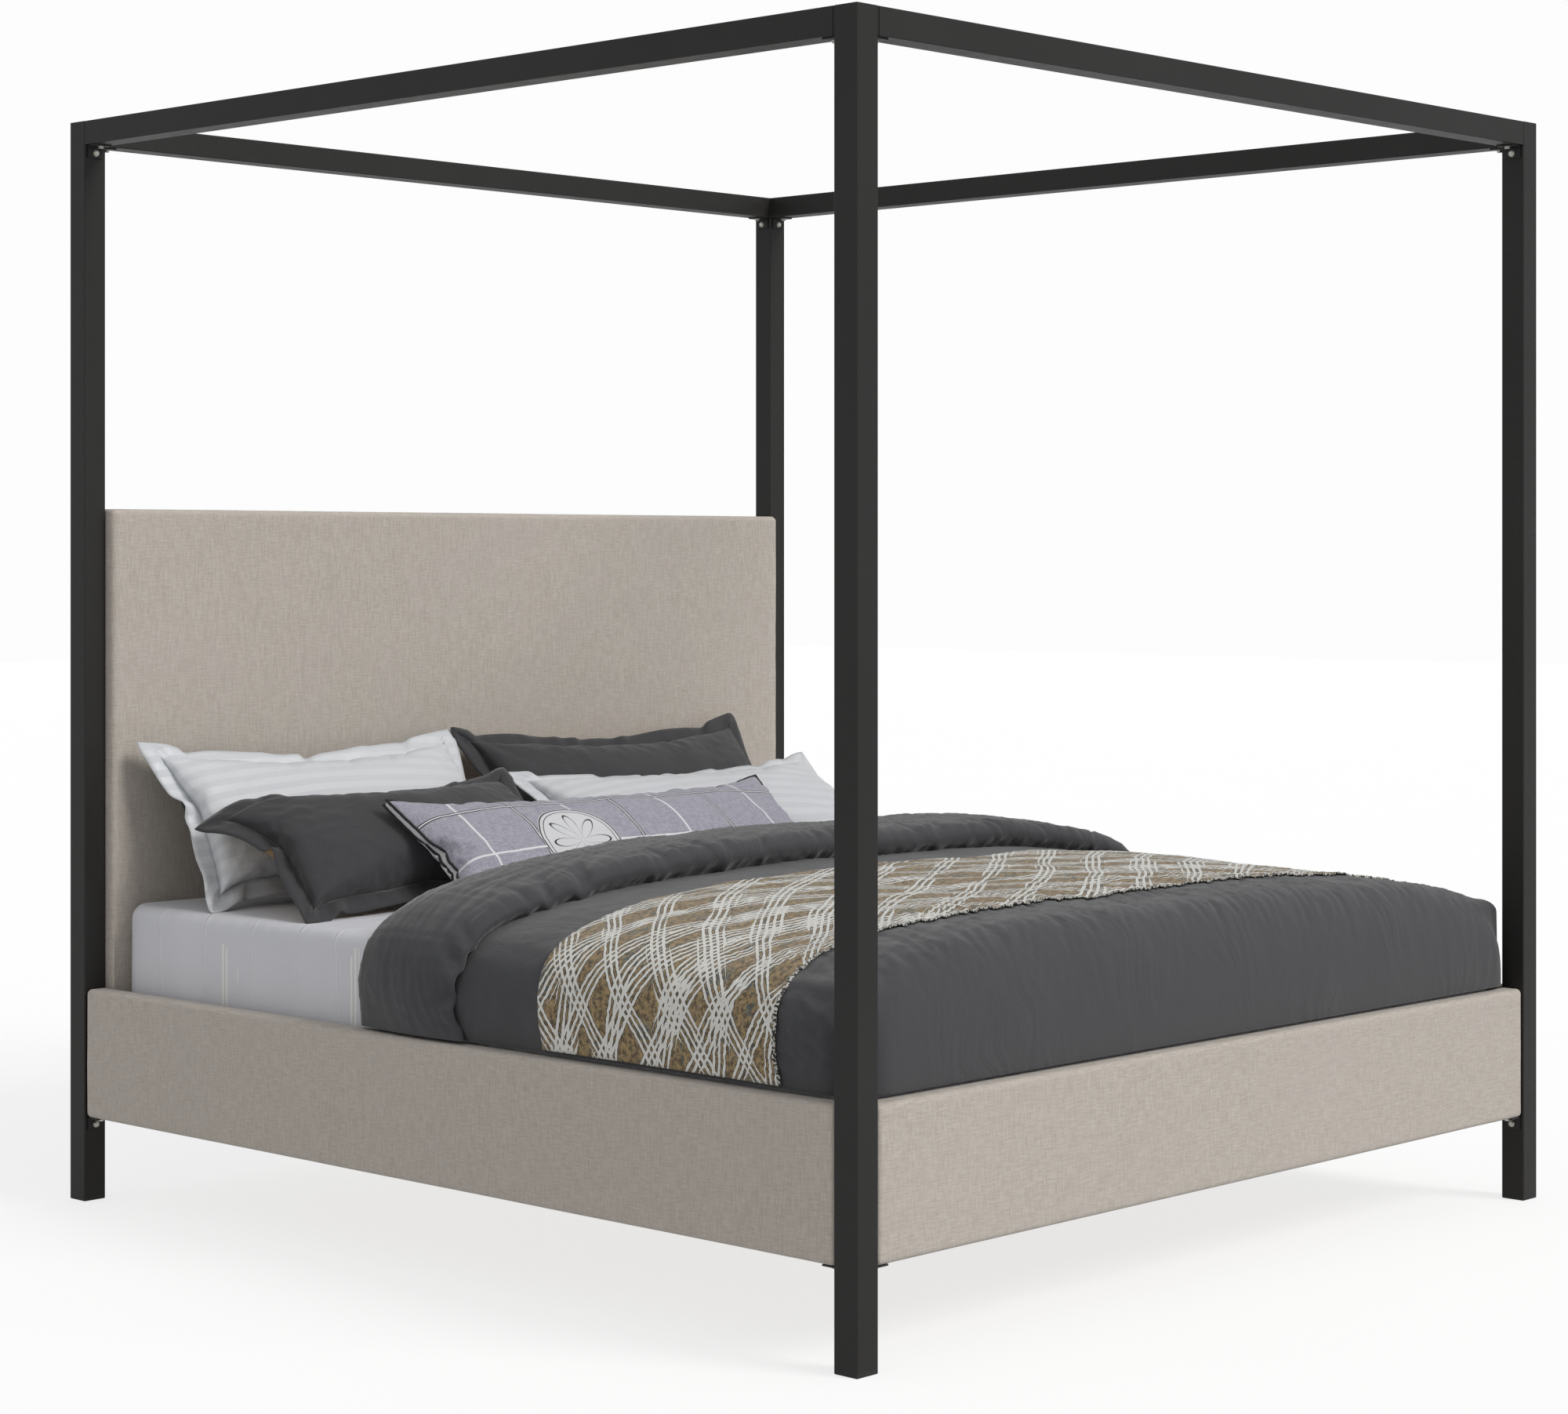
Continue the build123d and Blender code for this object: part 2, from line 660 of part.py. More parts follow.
with BuildPart() as headboard_foam:
    block(INNER_X, HB_FRONT + COVER, FRAME_BACK, INNER_LOW, INNER_TOP)
    top_front = headboard_foam.edges().filter_by(Axis.X).group_by(Axis.Z)[-1].sort_by(Axis.Y)[0]
    fillet(top_front, HB_SOFT - COVER)
    block(INNER_X + PAST, FOAM_BACK, FRAME_BACK + PAST, INNER_LOW - PAST, TIMBER_TOP, Mode.SUBTRACT)
save(headboard_foam, "headboard_foam")


def headboard_fabric(low, top, inner_low, inner_top, window_low, window_top):
    """A fabric wrap round the headboard's front, edges and back border between two heights."""
    with BuildPart() as fabric:
        block(HB_X, HB_FRONT, HB_BACK, low, top)
        if top == HB_TOP:
            edge = fabric.edges().filter_by(Axis.X).group_by(Axis.Z)[-1].sort_by(Axis.Y)[0]
            fillet(edge, HB_SOFT)
        block(INNER_X, HB_FRONT + COVER, FRAME_BACK, inner_low, inner_top, Mode.SUBTRACT)
        if top == HB_TOP:
            add(headboard_foam.part, mode=Mode.SUBTRACT)
        border_x = HB_X - STILE
        block(border_x, FRAME_BACK - PAST, HB_BACK + PAST, window_low, window_top, Mode.SUBTRACT)
        with Locations(*PLATE_SEATS):
            Cylinder(BOLT_HOLE_R, 4 * (BRACKET + COVER), mode=Mode.SUBTRACT)
    return fabric


ROUND_TOP = INNER_TOP - HB_SOFT
upper = headboard_fabric(HB_SEAM, HB_TOP, HB_SEAM - PAST, ROUND_TOP, HB_SEAM - PAST, HB_TOP - STILE)
save(upper, "headboard_cover")
lower = headboard_fabric(HB_LOW, HB_SEAM, INNER_LOW, HB_SEAM + PAST, HB_LOW + STILE, HB_SEAM + PAST)
save(lower, "headboard_lower_cover")

with BuildPart() as headboard_lining:
    lining_x = CLEAR_X - PLATE_WIDE - LINING_GAP
    block(lining_x, HB_BACK, HB_BACK + LINING, HB_LOW + STILE / 2, HB_TOP - STILE / 2)
save(headboard_lining, "headboard_lining")

with BuildPart() as headboard_plates:
    with Locations(*PLATE_SEATS):
        with Locations((0, 0, -BRACKET / 2)):
            Box(PLATE_TALL, PLATE_TALL, BRACKET)
    reach = CLEAR_X - PLATE_WIDE
    block(reach, HB_BACK - PAST, HB_BACK + BRACKET + PAST, HB_LOW, HB_TOP, Mode.SUBTRACT)
    for sx in (-1, 1):
        with Locations((sx * (CLEAR_X + PLATE_WIDE), HB_BACK, (HB_LOW + HB_TOP) / 2)):
            Box(2 * PLATE_WIDE, 4 * PLATE_TALL, HB_TOP, mode=Mode.SUBTRACT)
    with Locations(*PLATE_SEATS):
        Cylinder(BOLT_HOLE_R, 4 * BRACKET, mode=Mode.SUBTRACT)
save(headboard_plates, "headboard_plates")

with BuildPart() as headboard_bolts:
    with Locations(*PLATE_SEATS):
        add(plate_bolt)
save(headboard_bolts, "headboard_bolts")

# ================================================================ mattress and sheet
MATTRESS_LOW = SLAT_BASE + SLAT
MATTRESS_LONG = MATTRESS_HEAD - MATTRESS_FOOT
MATTRESS_MID = (MATTRESS_HEAD + MATTRESS_FOOT) / 2


def mattress_shape(grow, low):
    """The mattress's outline grown by a clearance, from the height low to its crown."""
    with BuildPart() as shape:
        with BuildSketch(Plane((0, MATTRESS_MID, low))):
            wide = 2 * (MATTRESS_X + grow)
            RectangleRounded(wide, MATTRESS_LONG + 2 * grow, MATTRESS_CORNER)
        extrude(amount=MATTRESS_TOP + grow - low)
        fillet(shape.edges().group_by(Axis.Z)[-1], MATTRESS_EDGE)
    return shape


mattress = mattress_shape(0, MATTRESS_LOW)
save(mattress, "mattress")

sheet_inside = mattress_shape(FIT, MATTRESS_LOW)
with BuildPart() as fitted_sheet:
    add(mattress_shape(FIT + SHEET, MATTRESS_LOW + SHEET_HEM).part)
    add(sheet_inside.part, mode=Mode.SUBTRACT)
save(fitted_sheet, "fitted_sheet")


# ================================================================ duvet and runner
def crown(half, low, edge, top):
    """Face across the bed, from its low edges up to a crown, in the XZ plane."""
    with BuildSketch(Plane.XZ) as section:
        with BuildLine():
            Polyline((-half, edge), (-half, low), (half, low), (half, edge))
            ThreePointArc((-half, edge), (0, top), (half, edge))
        make_face()
    return section.sketch


def along_bed(start, stop, low, top, soft, both_ends):
    """Solid with its end profile rounded at the top of the foot end, or at both ends."""
    with BuildPart() as solid:
        with Locations((0, (start + stop) / 2, (low + top) / 2)):
            Box(FAR, stop - start, top - low)
        rim = solid.edges().filter_by(Axis.X).group_by(Axis.Z)[-1].sort_by(Axis.Y)
        fillet(rim if both_ends else rim[0], soft)
    return solid.part


with BuildPart() as duvet_body:
    extrude(crown(DUVET_X, DUVET_LOW, DUVET_EDGE_Z, DUVET_TOP), amount=FAR, both=True)
    body_round = along_bed(DUVET_FOOT, DUVET_HEAD, DUVET_LOW, DUVET_TOP, DUVET_ROUND, False)
    add(body_round, mode=Mode.INTERSECT)

with BuildPart() as duvet_roll:
    extrude(crown(ROLL_X, DUVET_LOW, ROLL_EDGE_Z, ROLL_TOP), amount=FAR, both=True)
    roll_round = along_bed(ROLL_FOOT, ROLL_HEAD, DUVET_LOW, ROLL_TOP, ROLL_ROUND, True)
    add(roll_round, mode=Mode.INTERSECT)

with BuildPart() as duvet:
    add(duvet_body.part)
    add(duvet_roll.part)
    add(mattress_shape(2 * FIT + SHEET, MATTRESS_LOW).part, mode=Mode.SUBTRACT)
    with CORNERS:
        Box(POST + 2 * POST_CLEAR, POST + 2 * POST_CLEAR, FAR, mode=Mode.SUBTRACT)
save(duvet, "duvet")

with BuildPart() as runner:
    lifted = DUVET_TOP + FIT + RUNNER
    outer = crown(DUVET_X + FIT + RUNNER, DUVET_LOW, DUVET_EDGE_Z, lifted)
    inner = crown(DUVET_X + FIT, DUVET_LOW - PAST, DUVET_EDGE_Z, DUVET_TOP + FIT)
    extrude(outer, amount=-RUNNER_FOOT)
    extrude(inner, amount=-RUNNER_FOOT, mode=Mode.SUBTRACT)
    with Locations((0, RUNNER_HEAD, MATTRESS_TOP)):
        Box(FAR, FAR, FAR, align=(Align.CENTER, Align.MIN, Align.CENTER), mode=Mode.SUBTRACT)
save(runner, "runner")

# ================================================================ pillows
# name: width, height, thickness, middle x, middle y, lean from upright in degrees
PILLOWS = {
    "pillow_back_left": (830.0, 400.0, 120.0, -527.0, 845.0, 37.0),
    "pillow_back_right": (875.0, 400.0, 120.0, 334.0, 845.0, 37.0),
    "pillow_front_left": (800.0, 400.0, 100.0, -532.0, 600.0, 55.0),
    "pillow_front_right": (930.0, 400.0, 100.0, 345.0, 600.0, 55.0),
    "pillow_check": (1050.0, 330.0, 90.0, -120.0, 405.0, 52.0),
}
PILLOW_CROWN = (0.62, 0.45)
PILLOW_REST = MATTRESS_TOP + SHEET + 2 * FIT

for name, (wide, tall, thick, x, y, lean) in PILLOWS.items():
    tilt = radians(lean)
    half_up = tall / 2 * cos(tilt) + PILLOW_EDGE / 2 * sin(tilt)
    front = (0, -cos(tilt), sin(tilt))
    middle = Plane(origin=(x, y, PILLOW_REST + half_up), x_dir=(1, 0, 0), z_dir=front)
    with BuildPart() as pillow:
        with BuildSketch(middle):
            RectangleRounded(wide, tall, PILLOW_CORNER)
        extrude(amount=PILLOW_EDGE / 2, both=True)
        for sign in (-1, 1):
            with BuildSketch(middle.offset(sign * PILLOW_EDGE / 2)):
                RectangleRounded(wide, tall, PILLOW_CORNER)
            with BuildSketch(middle.offset(sign * thick / 2)):
                RectangleRounded(wide * PILLOW_CROWN[0], tall * PILLOW_CROWN[1], PILLOW_CORNER)
            loft()
    save(pillow, name)
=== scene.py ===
"""Four poster canopy bed: its looks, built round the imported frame.

Metres, +Z up, in the frame of the CAD model: the headboard is at +Y and left is -X.
"""
import math
import random

import bpy
import numpy as np
from mathutils import Matrix, Vector, noise


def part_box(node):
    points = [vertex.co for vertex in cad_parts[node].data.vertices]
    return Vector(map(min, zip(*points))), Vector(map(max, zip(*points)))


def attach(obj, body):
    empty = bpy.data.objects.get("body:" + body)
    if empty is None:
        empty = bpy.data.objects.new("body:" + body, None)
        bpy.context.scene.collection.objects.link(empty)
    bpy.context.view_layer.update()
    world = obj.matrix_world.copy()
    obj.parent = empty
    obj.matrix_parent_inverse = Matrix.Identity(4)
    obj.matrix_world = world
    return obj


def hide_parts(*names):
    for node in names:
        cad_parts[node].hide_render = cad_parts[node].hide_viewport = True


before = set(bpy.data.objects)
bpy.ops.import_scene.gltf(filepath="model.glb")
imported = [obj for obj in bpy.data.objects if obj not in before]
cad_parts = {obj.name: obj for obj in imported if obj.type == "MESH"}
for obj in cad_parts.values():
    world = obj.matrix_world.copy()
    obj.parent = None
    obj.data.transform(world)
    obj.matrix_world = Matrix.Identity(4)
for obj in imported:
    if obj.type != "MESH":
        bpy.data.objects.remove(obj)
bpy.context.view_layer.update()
scene = bpy.context.scene


def configured(thing, **settings):
    """The thing with those properties set."""
    for key, value in settings.items():
        setattr(thing, key, value)
    return thing


def span(node):
    """A CAD node's lowest and highest corners as two arrays."""
    low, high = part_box(node)
    return np.array(low), np.array(high)


# ================ shader building
class Shader:
    """A material's node tree, with short calls for the nodes it is built from."""

    def __init__(self, name, **sockets):
        self.material = bpy.data.materials.new(name)
        self.material.use_nodes = True
        self.tree = self.material.node_tree
        self.surface = self.tree.nodes["Principled BSDF"]
        for key, value in sockets.items():
            self.put(self.surface.inputs[key.replace("_", " ")], value)

    def put(self, socket, value):
        if isinstance(value, bpy.types.NodeSocket):
            self.tree.links.new(value, socket)
        elif value is not None:
            socket.default_value = value

    def node(self, kind, inputs=(), out=0, **settings):
        """A new node: inputs is {socket: value or link}, and out the output that is returned."""
        made = configured(self.tree.nodes.new("ShaderNode" + kind), **settings)
        for socket, value in dict(inputs).items():
            self.put(made.inputs[socket], value)
        return made.outputs[out]

    def math(self, operation, a, b=None, c=None):
        return self.node("Math", {0: a, 1: b, 2: c}, operation=operation)

    def plus(self, a, b):
        return self.math("ADD", a, b)

    def minus(self, a, b):
        return self.math("SUBTRACT", a, b)

    def times(self, a, b):
        return self.math("MULTIPLY", a, b)

    def under(self, a, b):
        return self.math("LESS_THAN", a, b)

    def apart(self, a, b):
        return self.math("ABSOLUTE", self.minus(a, b))

    def scaled(self, vector, factors):
        return self.node("VectorMath", {0: vector, 1: factors}, operation="MULTIPLY")

    def split(self, vector):
        xyz = self.node("SeparateXYZ", {0: vector}).node
        return xyz.outputs[0], xyz.outputs[1], xyz.outputs[2]

    def place(self):
        return self.node("TexCoord", out="Object")

    def cloth(self):
        """Distances along the cloth, across and lengthwise, stored on the mesh in metres."""
        return self.node("Attribute", out="Vector", attribute_name="cloth")

    def noise(self, vector, scale, detail=2.0, rough=0.5):
        sockets = {"Vector": vector, "Scale": scale, "Detail": detail, "Roughness": rough}
        return self.node("TexNoise", sockets)

    def streaked(self, vector, factors, detail=2.0, rough=0.5):
        """Noise drawn out along an axis; factors is waves to the metre in each direction."""
        return self.noise(self.scaled(vector, factors), 1.0, detail, rough)

    def drift(self, vector, scale, detail, amount):
        """Noise about zero."""
        return self.times(self.minus(self.noise(vector, scale, detail), 0.5), amount)

    def between(self, value, low, high, start=0.0, end=1.0):
        """From low to high as the value goes from start to end."""
        sockets = {"Value": value, "From Min": start, "From Max": end, "To Min": low, "To Max": high}
        return self.node("MapRange", sockets)

    def ramp(self, value, low, high):
        """0 under low, 1 over high, and smooth between them."""
        sockets = {"Value": value, "From Min": low, "From Max": high}
        return self.node("MapRange", sockets, interpolation_type="SMOOTHSTEP")

    def mix(self, share, a, b):
        return self.node("Mix", {0: share, 6: a, 7: b}, out=2, data_type="RGBA")

    def bump(self, height, distance, strength=1.0, under=None):
        sockets = {"Height": height, "Distance": distance, "Strength": strength, "Normal": under}
        return self.node("Bump", sockets)

    def finish(self, colour=None, roughness=None, normal=None):
        self.put(self.surface.inputs["Base Color"], colour)
        self.put(self.surface.inputs["Roughness"], roughness)
        self.put(self.surface.inputs["Normal"], normal)
        return self.material

    def threads(self, vector, pitch):
        """Height of a plain weave of that pitch, in the first two coordinates."""
        across, along, _ = self.split(self.scaled(vector, (math.pi / pitch,) * 3))
        weft, warp = self.math("SINE", across), self.math("SINE", along)
        return self.math("MULTIPLY", weft, warp)


def rgb(red, green, blue):
    return (red, green, blue, 1.0)


def grey(level):
    return rgb(level, level, level)


# ================ materials of the hard parts
def powder_coat(name, dark, light, grain):
    s = Shader(name, Specular_IOR_Level=0.35)
    where = s.place()
    patches = s.noise(where, 3.0, 3.0)
    orange_peel = s.noise(where, 520.0, 2.0)
    rough = s.between(s.noise(where, 40.0, 4.0), 0.34, 0.5)
    return s.finish(s.mix(patches, dark, light), rough, s.bump(orange_peel, grain, 0.5))


def metal(name, dark, light, roughness):
    s = Shader(name, Metallic=1.0)
    where = s.place()
    cloudy = s.noise(where, 240.0, 5.0, 0.7)
    rough = s.between(cloudy, roughness, roughness + 0.2)
    return s.finish(s.mix(cloudy, dark, light), rough, s.bump(cloudy, 0.0002, 0.4))


def moulded_plastic(name):
    s = Shader(name)
    where = s.place()
    grain = s.noise(where, 900.0, 3.0)
    colour = s.mix(s.noise(where, 12.0), grey(0.010), grey(0.022))
    return s.finish(colour, 0.6, s.bump(grain, 0.0003, 0.5))


def sawn_timber(name):
    s = Shader(name)
    where = s.place()
    wavy = s.scaled(where, (0.8, 9.0, 9.0))
    rings = s.node("TexWave", {"Vector": wavy, "Scale": 1.6, "Distortion": 6.0, "Detail": 3.0})
    fibre = s.streaked(where, (6.0, 260.0, 260.0), 4.0, 0.7)
    colour = s.mix(rings, rgb(0.60, 0.42, 0.25), rgb(0.74, 0.58, 0.38))
    colour = s.mix(s.ramp(fibre, 0.55, 0.75), colour, rgb(0.46, 0.30, 0.16))
    return s.finish(colour, 0.62, s.bump(fibre, 0.0006, 0.5))


# ================ materials of the cloths
def linen(name):
    """Coarse linen look: irregular slubs in both directions over a fine plain weave."""
    s = Shader(name, Sheen_Weight=0.15, Sheen_Roughness=0.6)
    where = s.place()
    upright = s.streaked(where, (320.0, 320.0, 36.0), 2.0, 0.6)
    level = s.streaked(where, (36.0, 36.0, 370.0), 2.0, 0.6)
    fine_upright = s.streaked(where, (900.0, 900.0, 130.0), 1.0)
    fine_level = s.streaked(where, (130.0, 130.0, 900.0), 1.0)
    slubs = s.plus(upright, level)
    fine = s.plus(fine_upright, fine_level)
    colour = s.mix(s.ramp(slubs, 0.72, 1.28), rgb(0.425, 0.378, 0.330), rgb(0.530, 0.482, 0.430))
    warm = s.ramp(s.noise(where, 5.0, 3.0), 0.35, 0.7)
    colour = s.mix(s.times(warm, 0.25), colour, rgb(0.49, 0.435, 0.40))
    fleck = s.ramp(s.streaked(where, (60.0, 60.0, 95.0), 2.0), 0.80, 0.83)
    colour = s.mix(s.times(fleck, 0.5), colour, rgb(0.16, 0.13, 0.10))
    height = s.bump(fine, 0.0005, 0.5, s.bump(slubs, 0.0009, 0.5))
    return s.finish(colour, 0.9, height)


def plain_cotton(name, dark, light, sheen, crease=0.0025, streaks=0.0):
    """Close cotton with soft creases over a fine weave, and fine streaks square to the bed's width."""
    s = Shader(name, Sheen_Weight=sheen, Sheen_Roughness=0.45, Specular_IOR_Level=0.35)
    where = s.place()
    warp = s.noise(where, 3.0, 2.0)
    bent = s.node("VectorMath", {0: where, 1: warp}, operation="ADD")
    creases = s.streaked(bent, (9.0, 16.0, 12.0), 4.0, 0.6)
    weave = s.noise(where, 1500.0, 1.0)
    colour = s.mix(s.noise(where, 900.0, 2.0), dark, light)
    normal = s.bump(weave, 0.0003, 0.35, s.bump(creases, crease, 0.5))
    if streaks:
        slant = s.node("VectorMath", {0: where, 1: s.scaled(warp, (0.30, 0.0, 0.0))}, operation="ADD")
        drawn = s.streaked(slant, (48.0, 6.0, 7.0), 3.0, 0.55)
        drawn = s.times(drawn, s.ramp(s.noise(where, 5.0), 0.38, 0.72))
        normal = s.bump(drawn, streaks, 0.6, normal)
    return s.finish(colour, 0.82, normal)


def striped_sateen(name):
    """White sateen: broad satin bands that differ in gloss and a little in tone."""
    s = Shader(name, Sheen_Weight=0.1, Specular_IOR_Level=0.5)
    where = s.place()
    _, up, _ = s.split(where)
    band = s.math("PINGPONG", up, 0.016)
    satin = s.ramp(band, 0.0072, 0.0088)
    colour = s.mix(satin, rgb(0.60, 0.615, 0.64), rgb(0.655, 0.67, 0.695))
    rough = s.between(satin, 0.75, 0.42)
    ribs = s.math("SINE", s.times(up, 2 * math.pi / 0.0022))
    creases = s.streaked(where, (22.0, 9.0, 14.0), 4.0, 0.6)
    normal = s.bump(creases, 0.006, 0.5, s.bump(ribs, 0.0002, 0.25))
    return s.finish(colour, rough, normal)


# Places along the bed of the creases that the sheet was folded on; each gets a bump and a painted
# highlight.
SHEET_CREASES = (0.86, 0.714, 0.558, 0.42, 0.306)


def sheet_cotton(name):
    """Pale cotton with the sharp creases that it was folded on, each with a painted highlight, and
    soft gathers.
    """
    s = Shader(name, Sheen_Weight=0.1, Specular_IOR_Level=0.4)
    where = s.place()
    _, along, _ = s.split(where)
    creases = s.streaked(where, (7.0, 30.0, 5.0), 4.0, 0.55)
    bend = s.drift(where, 6.0, 2.0, 0.03)
    along = s.plus(along, bend)
    fold = 0.0
    for place in SHEET_CREASES:
        off = s.apart(along, place)
        fold = s.math("MAXIMUM", fold, s.ramp(off, 0.0045, 0.0))
    colour = s.mix(s.noise(where, 7.0, 3.0), rgb(0.60, 0.605, 0.645), rgb(0.69, 0.69, 0.73))
    # Painted highlight: the cotton is painted lighter along each crease line.
    colour = s.mix(s.times(fold, 0.45), colour, rgb(0.86, 0.86, 0.87))
    normal = s.bump(s.noise(where, 1400.0, 1.0), 0.0002, 0.3, s.bump(creases, 0.005, 0.6))
    return s.finish(colour, 0.72, s.bump(fold, 0.003, 0.6, normal))


RUNNER_FAMILIES = (
    # direction across and along, bend, bend wavelength, phase, spacing of the bundles
    (0.50, 0.866, 0.026, 1.25, 0.3, 0.092),
    (-0.56, 0.829, 0.020, 1.10, 1.9, 0.100),
    (0.14, 0.990, 0.030, 1.40, 4.0, 0.125),
)
# Half width and spacing of the lines, least and most half width of a bundle, and the foot side's hem.
RUNNER_LINE = 0.0029
RUNNER_LINE_PITCH = 0.0126
RUNNER_BUNDLE = (0.007, 0.033)
RUNNER_HEM = 0.006
RUNNER_FOOT, RUNNER_HEAD = (float(corner[1]) for corner in span("runner"))


def runner_jacquard(name):
    """Gold-brown mottled ground under off-white bundles of curved lines with dark outlines."""
    s = Shader(name, Sheen_Weight=0.2, Sheen_Roughness=0.5)
    cloth = s.cloth()
    across, along, _ = s.split(cloth)
    broken = s.drift(cloth, 110.0, 3.0, 0.0055)
    wander = s.drift(cloth, 3.5, 1.0, 0.036)
    spread = s.between(s.noise(cloth, 4.0), *RUNNER_BUNDLE, 0.3, 0.7)
    lines = outline = None
    for slope_x, slope_y, bend, wave, phase, spacing in RUNNER_FAMILIES:
        turn = s.math("MULTIPLY_ADD", across, 2 * math.pi / wave, phase)
        path = s.times(s.math("SINE", turn), bend)
        path = s.plus(path, s.times(across, slope_x))
        path = s.plus(path, s.times(along, slope_y))
        path = s.plus(path, wander)
        offset = s.plus(s.math("PINGPONG", path, spacing / 2), broken)
        thread = s.math("PINGPONG", offset, RUNNER_LINE_PITCH / 2)
        bundle = s.under(offset, spread)
        core = s.times(s.under(thread, RUNNER_LINE), bundle)
        edge = s.times(s.under(thread, 1.5 * RUNNER_LINE), bundle)
        lines = core if lines is None else s.math("MAXIMUM", lines, core)
        outline = edge if outline is None else s.math("MAXIMUM", outline, edge)
    mottle = s.noise(cloth, 90.0, 5.0, 0.75)
    ground = s.mix(s.ramp(mottle, 0.38, 0.60), rgb(0.075, 0.055, 0.032), rgb(0.35, 0.245, 0.115))
    teal = s.ramp(s.streaked(cloth, (14.0, 20.0, 1.0), 3.0), 0.56, 0.62)
    speck = s.times(teal, s.ramp(s.noise(cloth, 300.0, 2.0), 0.48, 0.56))
    ground = s.mix(speck, ground, rgb(0.045, 0.105, 0.125))
    dash = s.streaked(cloth, (160.0, 320.0, 1.0), 2.0)
    patch = s.ramp(s.noise(cloth, 17.0, 2.0), 0.56, 0.60)
    dash = s.times(s.math("GREATER_THAN", dash, 0.66), patch)
    ground = s.mix(dash, ground, rgb(0.60, 0.58, 0.52))
    colour = s.mix(outline, ground, rgb(0.035, 0.030, 0.026))
    colour = s.mix(lines, colour, rgb(0.70, 0.69, 0.65))
    hem = s.under(along, RUNNER_FOOT + RUNNER_HEM)
    speckled = s.math("GREATER_THAN", s.noise(cloth, 220.0, 1.0), 0.5)
    hem_colour = s.mix(speckled, grey(0.02), rgb(0.55, 0.53, 0.48))
    colour = s.mix(hem, colour, hem_colour)
    weave = s.threads(cloth, 0.0016)
    normal = s.bump(lines, 0.0006, 0.7, s.bump(weave, 0.0003, 0.5))
    return s.finish(colour, 0.85, normal)


# Spacing of the check pillow's lines, and the rosette's radius and place on the pillow.
CHECK_PITCH = 0.27
ROSETTE = 0.102
ROSETTE_PLACE = (-0.19, -0.05)


def check_cotton(name):
    """Lavender-grey chambray with alternate white and black-edged lines and a plain round rosette."""
    s = Shader(name, Sheen_Weight=0.15)
    where = s.place()
    across, up, _ = s.split(where)
    slub = s.streaked(where, (60.0, 700.0, 60.0), 3.0, 0.7)
    slub_up = s.streaked(where, (700.0, 60.0, 60.0), 3.0, 0.7)
    tone = s.ramp(s.plus(slub, slub_up), 0.75, 1.25)
    colour = s.mix(tone, rgb(0.245, 0.24, 0.30), rgb(0.44, 0.43, 0.49))
    for distance, offset in ((across, 0.155), (up, 0.055)):
        place = s.plus(distance, offset)
        white = s.math("PINGPONG", place, CHECK_PITCH / 2)
        black = s.minus(CHECK_PITCH / 2, white)
        colour = s.mix(s.under(white, 0.0026), colour, rgb(0.74, 0.74, 0.76))
        colour = s.mix(s.under(black, 0.0042), colour, rgb(0.03, 0.03, 0.035))
        colour = s.mix(s.under(black, 0.0016), colour, rgb(0.70, 0.70, 0.72))
    across = s.minus(across, ROSETTE_PLACE[0])
    up = s.minus(up, ROSETTE_PLACE[1])
    radius = s.math("SQRT", s.plus(s.math("POWER", across, 2.0), s.math("POWER", up, 2.0)))
    angle = s.math("ARCTAN2", up, across)
    colour = s.mix(s.under(radius, ROSETTE), colour, rgb(0.66, 0.66, 0.68))
    petal = s.math("ABSOLUTE", s.math("COSINE", s.times(angle, 4.0)))
    petal = s.times(petal, ROSETTE * 0.74)
    line = s.apart(radius, petal)
    ink = s.under(line, 0.0028)
    for share, width in ((0.97, 0.0016), (0.88, 0.0010)):
        ring = s.apart(radius, ROSETTE * share)
        ink = s.math("MAXIMUM", ink, s.under(ring, width))
    colour = s.mix(ink, colour, rgb(0.03, 0.03, 0.035))
    creases = s.streaked(where, (14.0, 10.0, 10.0), 4.0, 0.6)
    normal = s.bump(s.plus(slub, slub_up), 0.0005, 0.4, s.bump(creases, 0.003, 0.4))
    return s.finish(colour, 0.85, normal)


def coarse_cloth(name, dark, light, pitch):
    """Webbing, ticking or non-woven cloth: a visible weave in two tones."""
    s = Shader(name)
    where = s.place()
    weave = s.threads(where, pitch)
    blotch = s.noise(where, 160.0, 4.0, 0.7)
    colour = s.mix(s.ramp(s.plus(weave, blotch), -0.2, 1.4), dark, light)
    return s.finish(colour, 0.9, s.bump(weave, pitch / 4, 0.5, s.bump(blotch, 0.0008, 0.4)))


def plain_name(material):
    """A material's name without the number that Blender adds to a second one."""
    return material.name.split(".")[0]


